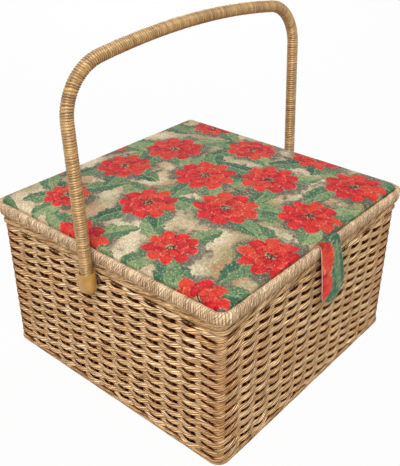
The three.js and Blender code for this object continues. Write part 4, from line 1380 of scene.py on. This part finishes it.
def floor_mat():
    """Flat woven floor on the underside, in cords that pass over and under each other, with painted shade
    between them.
    """
    low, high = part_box("base_panel")

    def woven(x, y):
        row = np.floor(y / MAT_PITCH)
        over = np.cos(np.pi * (x / MAT_STAKE_PITCH + row))
        return MAT_HEIGHT * (0.45 + 0.35 * over) * np.abs(np.cos(np.pi * (y / MAT_PITCH - row - 0.5))) ** 0.5

    def colours(x, y):
        row = np.floor(y / MAT_PITCH)
        tint = 0.5 * np.sin(row * 12.9) + 0.3 * np.sin(row * 4.7 + x * 60)
        # Painted shade where the woven cords dip between one another.
        gap = ease(0.4, 0.05, woven(x, y) / MAT_HEIGHT)
        return cord_paint(CORD_LIGHT, CORD_MID, CORD_DEEP_SHADE, tint, 0.8 * gap)

    corner = max(WALL_CORNER - (half_of("basket_weave") - high.x), 1 * MM) + 2 * MM
    piece = panel_piece(
        "floor_mat", high.x, corner, low.z + MAT_HEIGHT, high.z, 1 * MM, 216, woven, colours
    )
    place_piece(piece, "basket", cord, "floor_mat", "base_panel")


def eased_copy(node, name, width, body, material, slot):
    """A rigid CAD piece with its sharp edges rounded."""
    mesh = frame["nodes"][node].data.copy()
    mesh.name = name
    piece = add_object(name, mesh)
    bevel = piece.modifiers.new("edges", "BEVEL")
    bevel.width = width
    bevel.segments = 3
    bevel.limit_method = "ANGLE"
    bevel.angle_limit = math.radians(40)
    bevel.harden_normals = True
    place_piece(piece, body, material, slot, node)


def inside_pieces():
    """The tray, the ledges that carry it, and the boards in the floor and the lid."""
    eased_copy("tray", "sewing_tray", 0.5 * MM, "tray", tray_plastic, "tray_plastic")
    for side in ("front", "back"):
        eased_copy(f"tray_ledge_{side}", f"ledge_{side}", 0.6 * MM, "basket", board, "board")
    for node in ("base_board", "lid_board"):
        materials = frame["nodes"][node].data.materials
        materials.clear()
        materials.append(board)


# Stage


def white_for_eyes(tree):
    """1 for rays that are seen, straight or in a reflection, and 0 for those that only light."""
    path = add_node(tree, "ShaderNodeLightPath")
    seen = path.outputs["Is Camera Ray"]
    for name in ("Is Glossy Ray", "Is Transmission Ray"):
        seen = math_of(tree, "MAXIMUM", seen, path.outputs[name])
    return seen


def mix_shaders(tree, share, first, second, output):
    mix = add_node(tree, "ShaderNodeMixShader", {0: share, 1: first.outputs[0], 2: second.outputs[0]})
    tree.links.new(mix.outputs[0], tree.nodes[output].inputs["Surface"])


def aim(item, place, target):
    item.location = place
    item.rotation_euler = (Vector(target) - Vector(place)).to_track_quat("-Z", "Y").to_euler()


def studio():
    """White surroundings for the eye that give little light, a pale floor and three lamps."""
    scene = bpy.context.scene
    scene.view_settings.view_transform = "Standard"
    scene.world = bpy.data.worlds.new("studio")
    scene.world.use_nodes = True
    tree = scene.world.node_tree
    light = tree.nodes["Background"]
    light.inputs["Color"].default_value = WHITE
    light.inputs["Strength"].default_value = WORLD_LIGHT
    seen = add_node(tree, "ShaderNodeBackground", {"Color": WHITE, "Strength": 1.0})
    mix_shaders(tree, white_for_eyes(tree), light, seen, "World Output")

    flat = np.array([[0, 0], [1, 0], [1, 1], [0, 1.0]])
    points = np.column_stack([FLOOR_SIZE * (flat - 0.5), np.zeros(4)])
    floor = new_piece("floor", points, [np.array([[0, 1, 2, 3]])], {"Lay": flat})
    material, tree, shader = new_material("pale_floor", 0.9)
    shader.inputs["Base Color"].default_value = (FLOOR_GREY, FLOOR_GREY, FLOOR_GREY, 1)
    white = add_node(tree, "ShaderNodeEmission", {"Color": WHITE, "Strength": 1.0})
    share = math_of(tree, "MULTIPLY", white_for_eyes(tree), FLOOR_WHITENESS)
    mix_shaders(tree, share, shader, white, "Material Output")
    floor.data.materials.append(material)

    for name, place, size, energy in LAMPS:
        lamp = bpy.data.lights.new(name, "AREA")
        lamp.size = size
        lamp.energy = energy
        aim(add_object(name, lamp), place, LAMP_TARGET)


def camera():
    data = bpy.data.cameras.new("camera")
    data.lens = CAMERA_LENS
    data.sensor_width = 36
    eye = add_object("camera", data)
    aim(eye, CAMERA_PLACE, CAMERA_TARGET)
    bpy.context.scene.camera = eye


for build in (
    camera, studio, weave, weave_stakes, borders, lid_rim, lid_pad, lid_underside, pin_cushion,
    hinge_loops, tab, handle_wrap, ferrules, pivots, lining_bag, floor_mat, inside_pieces,
):
    build()
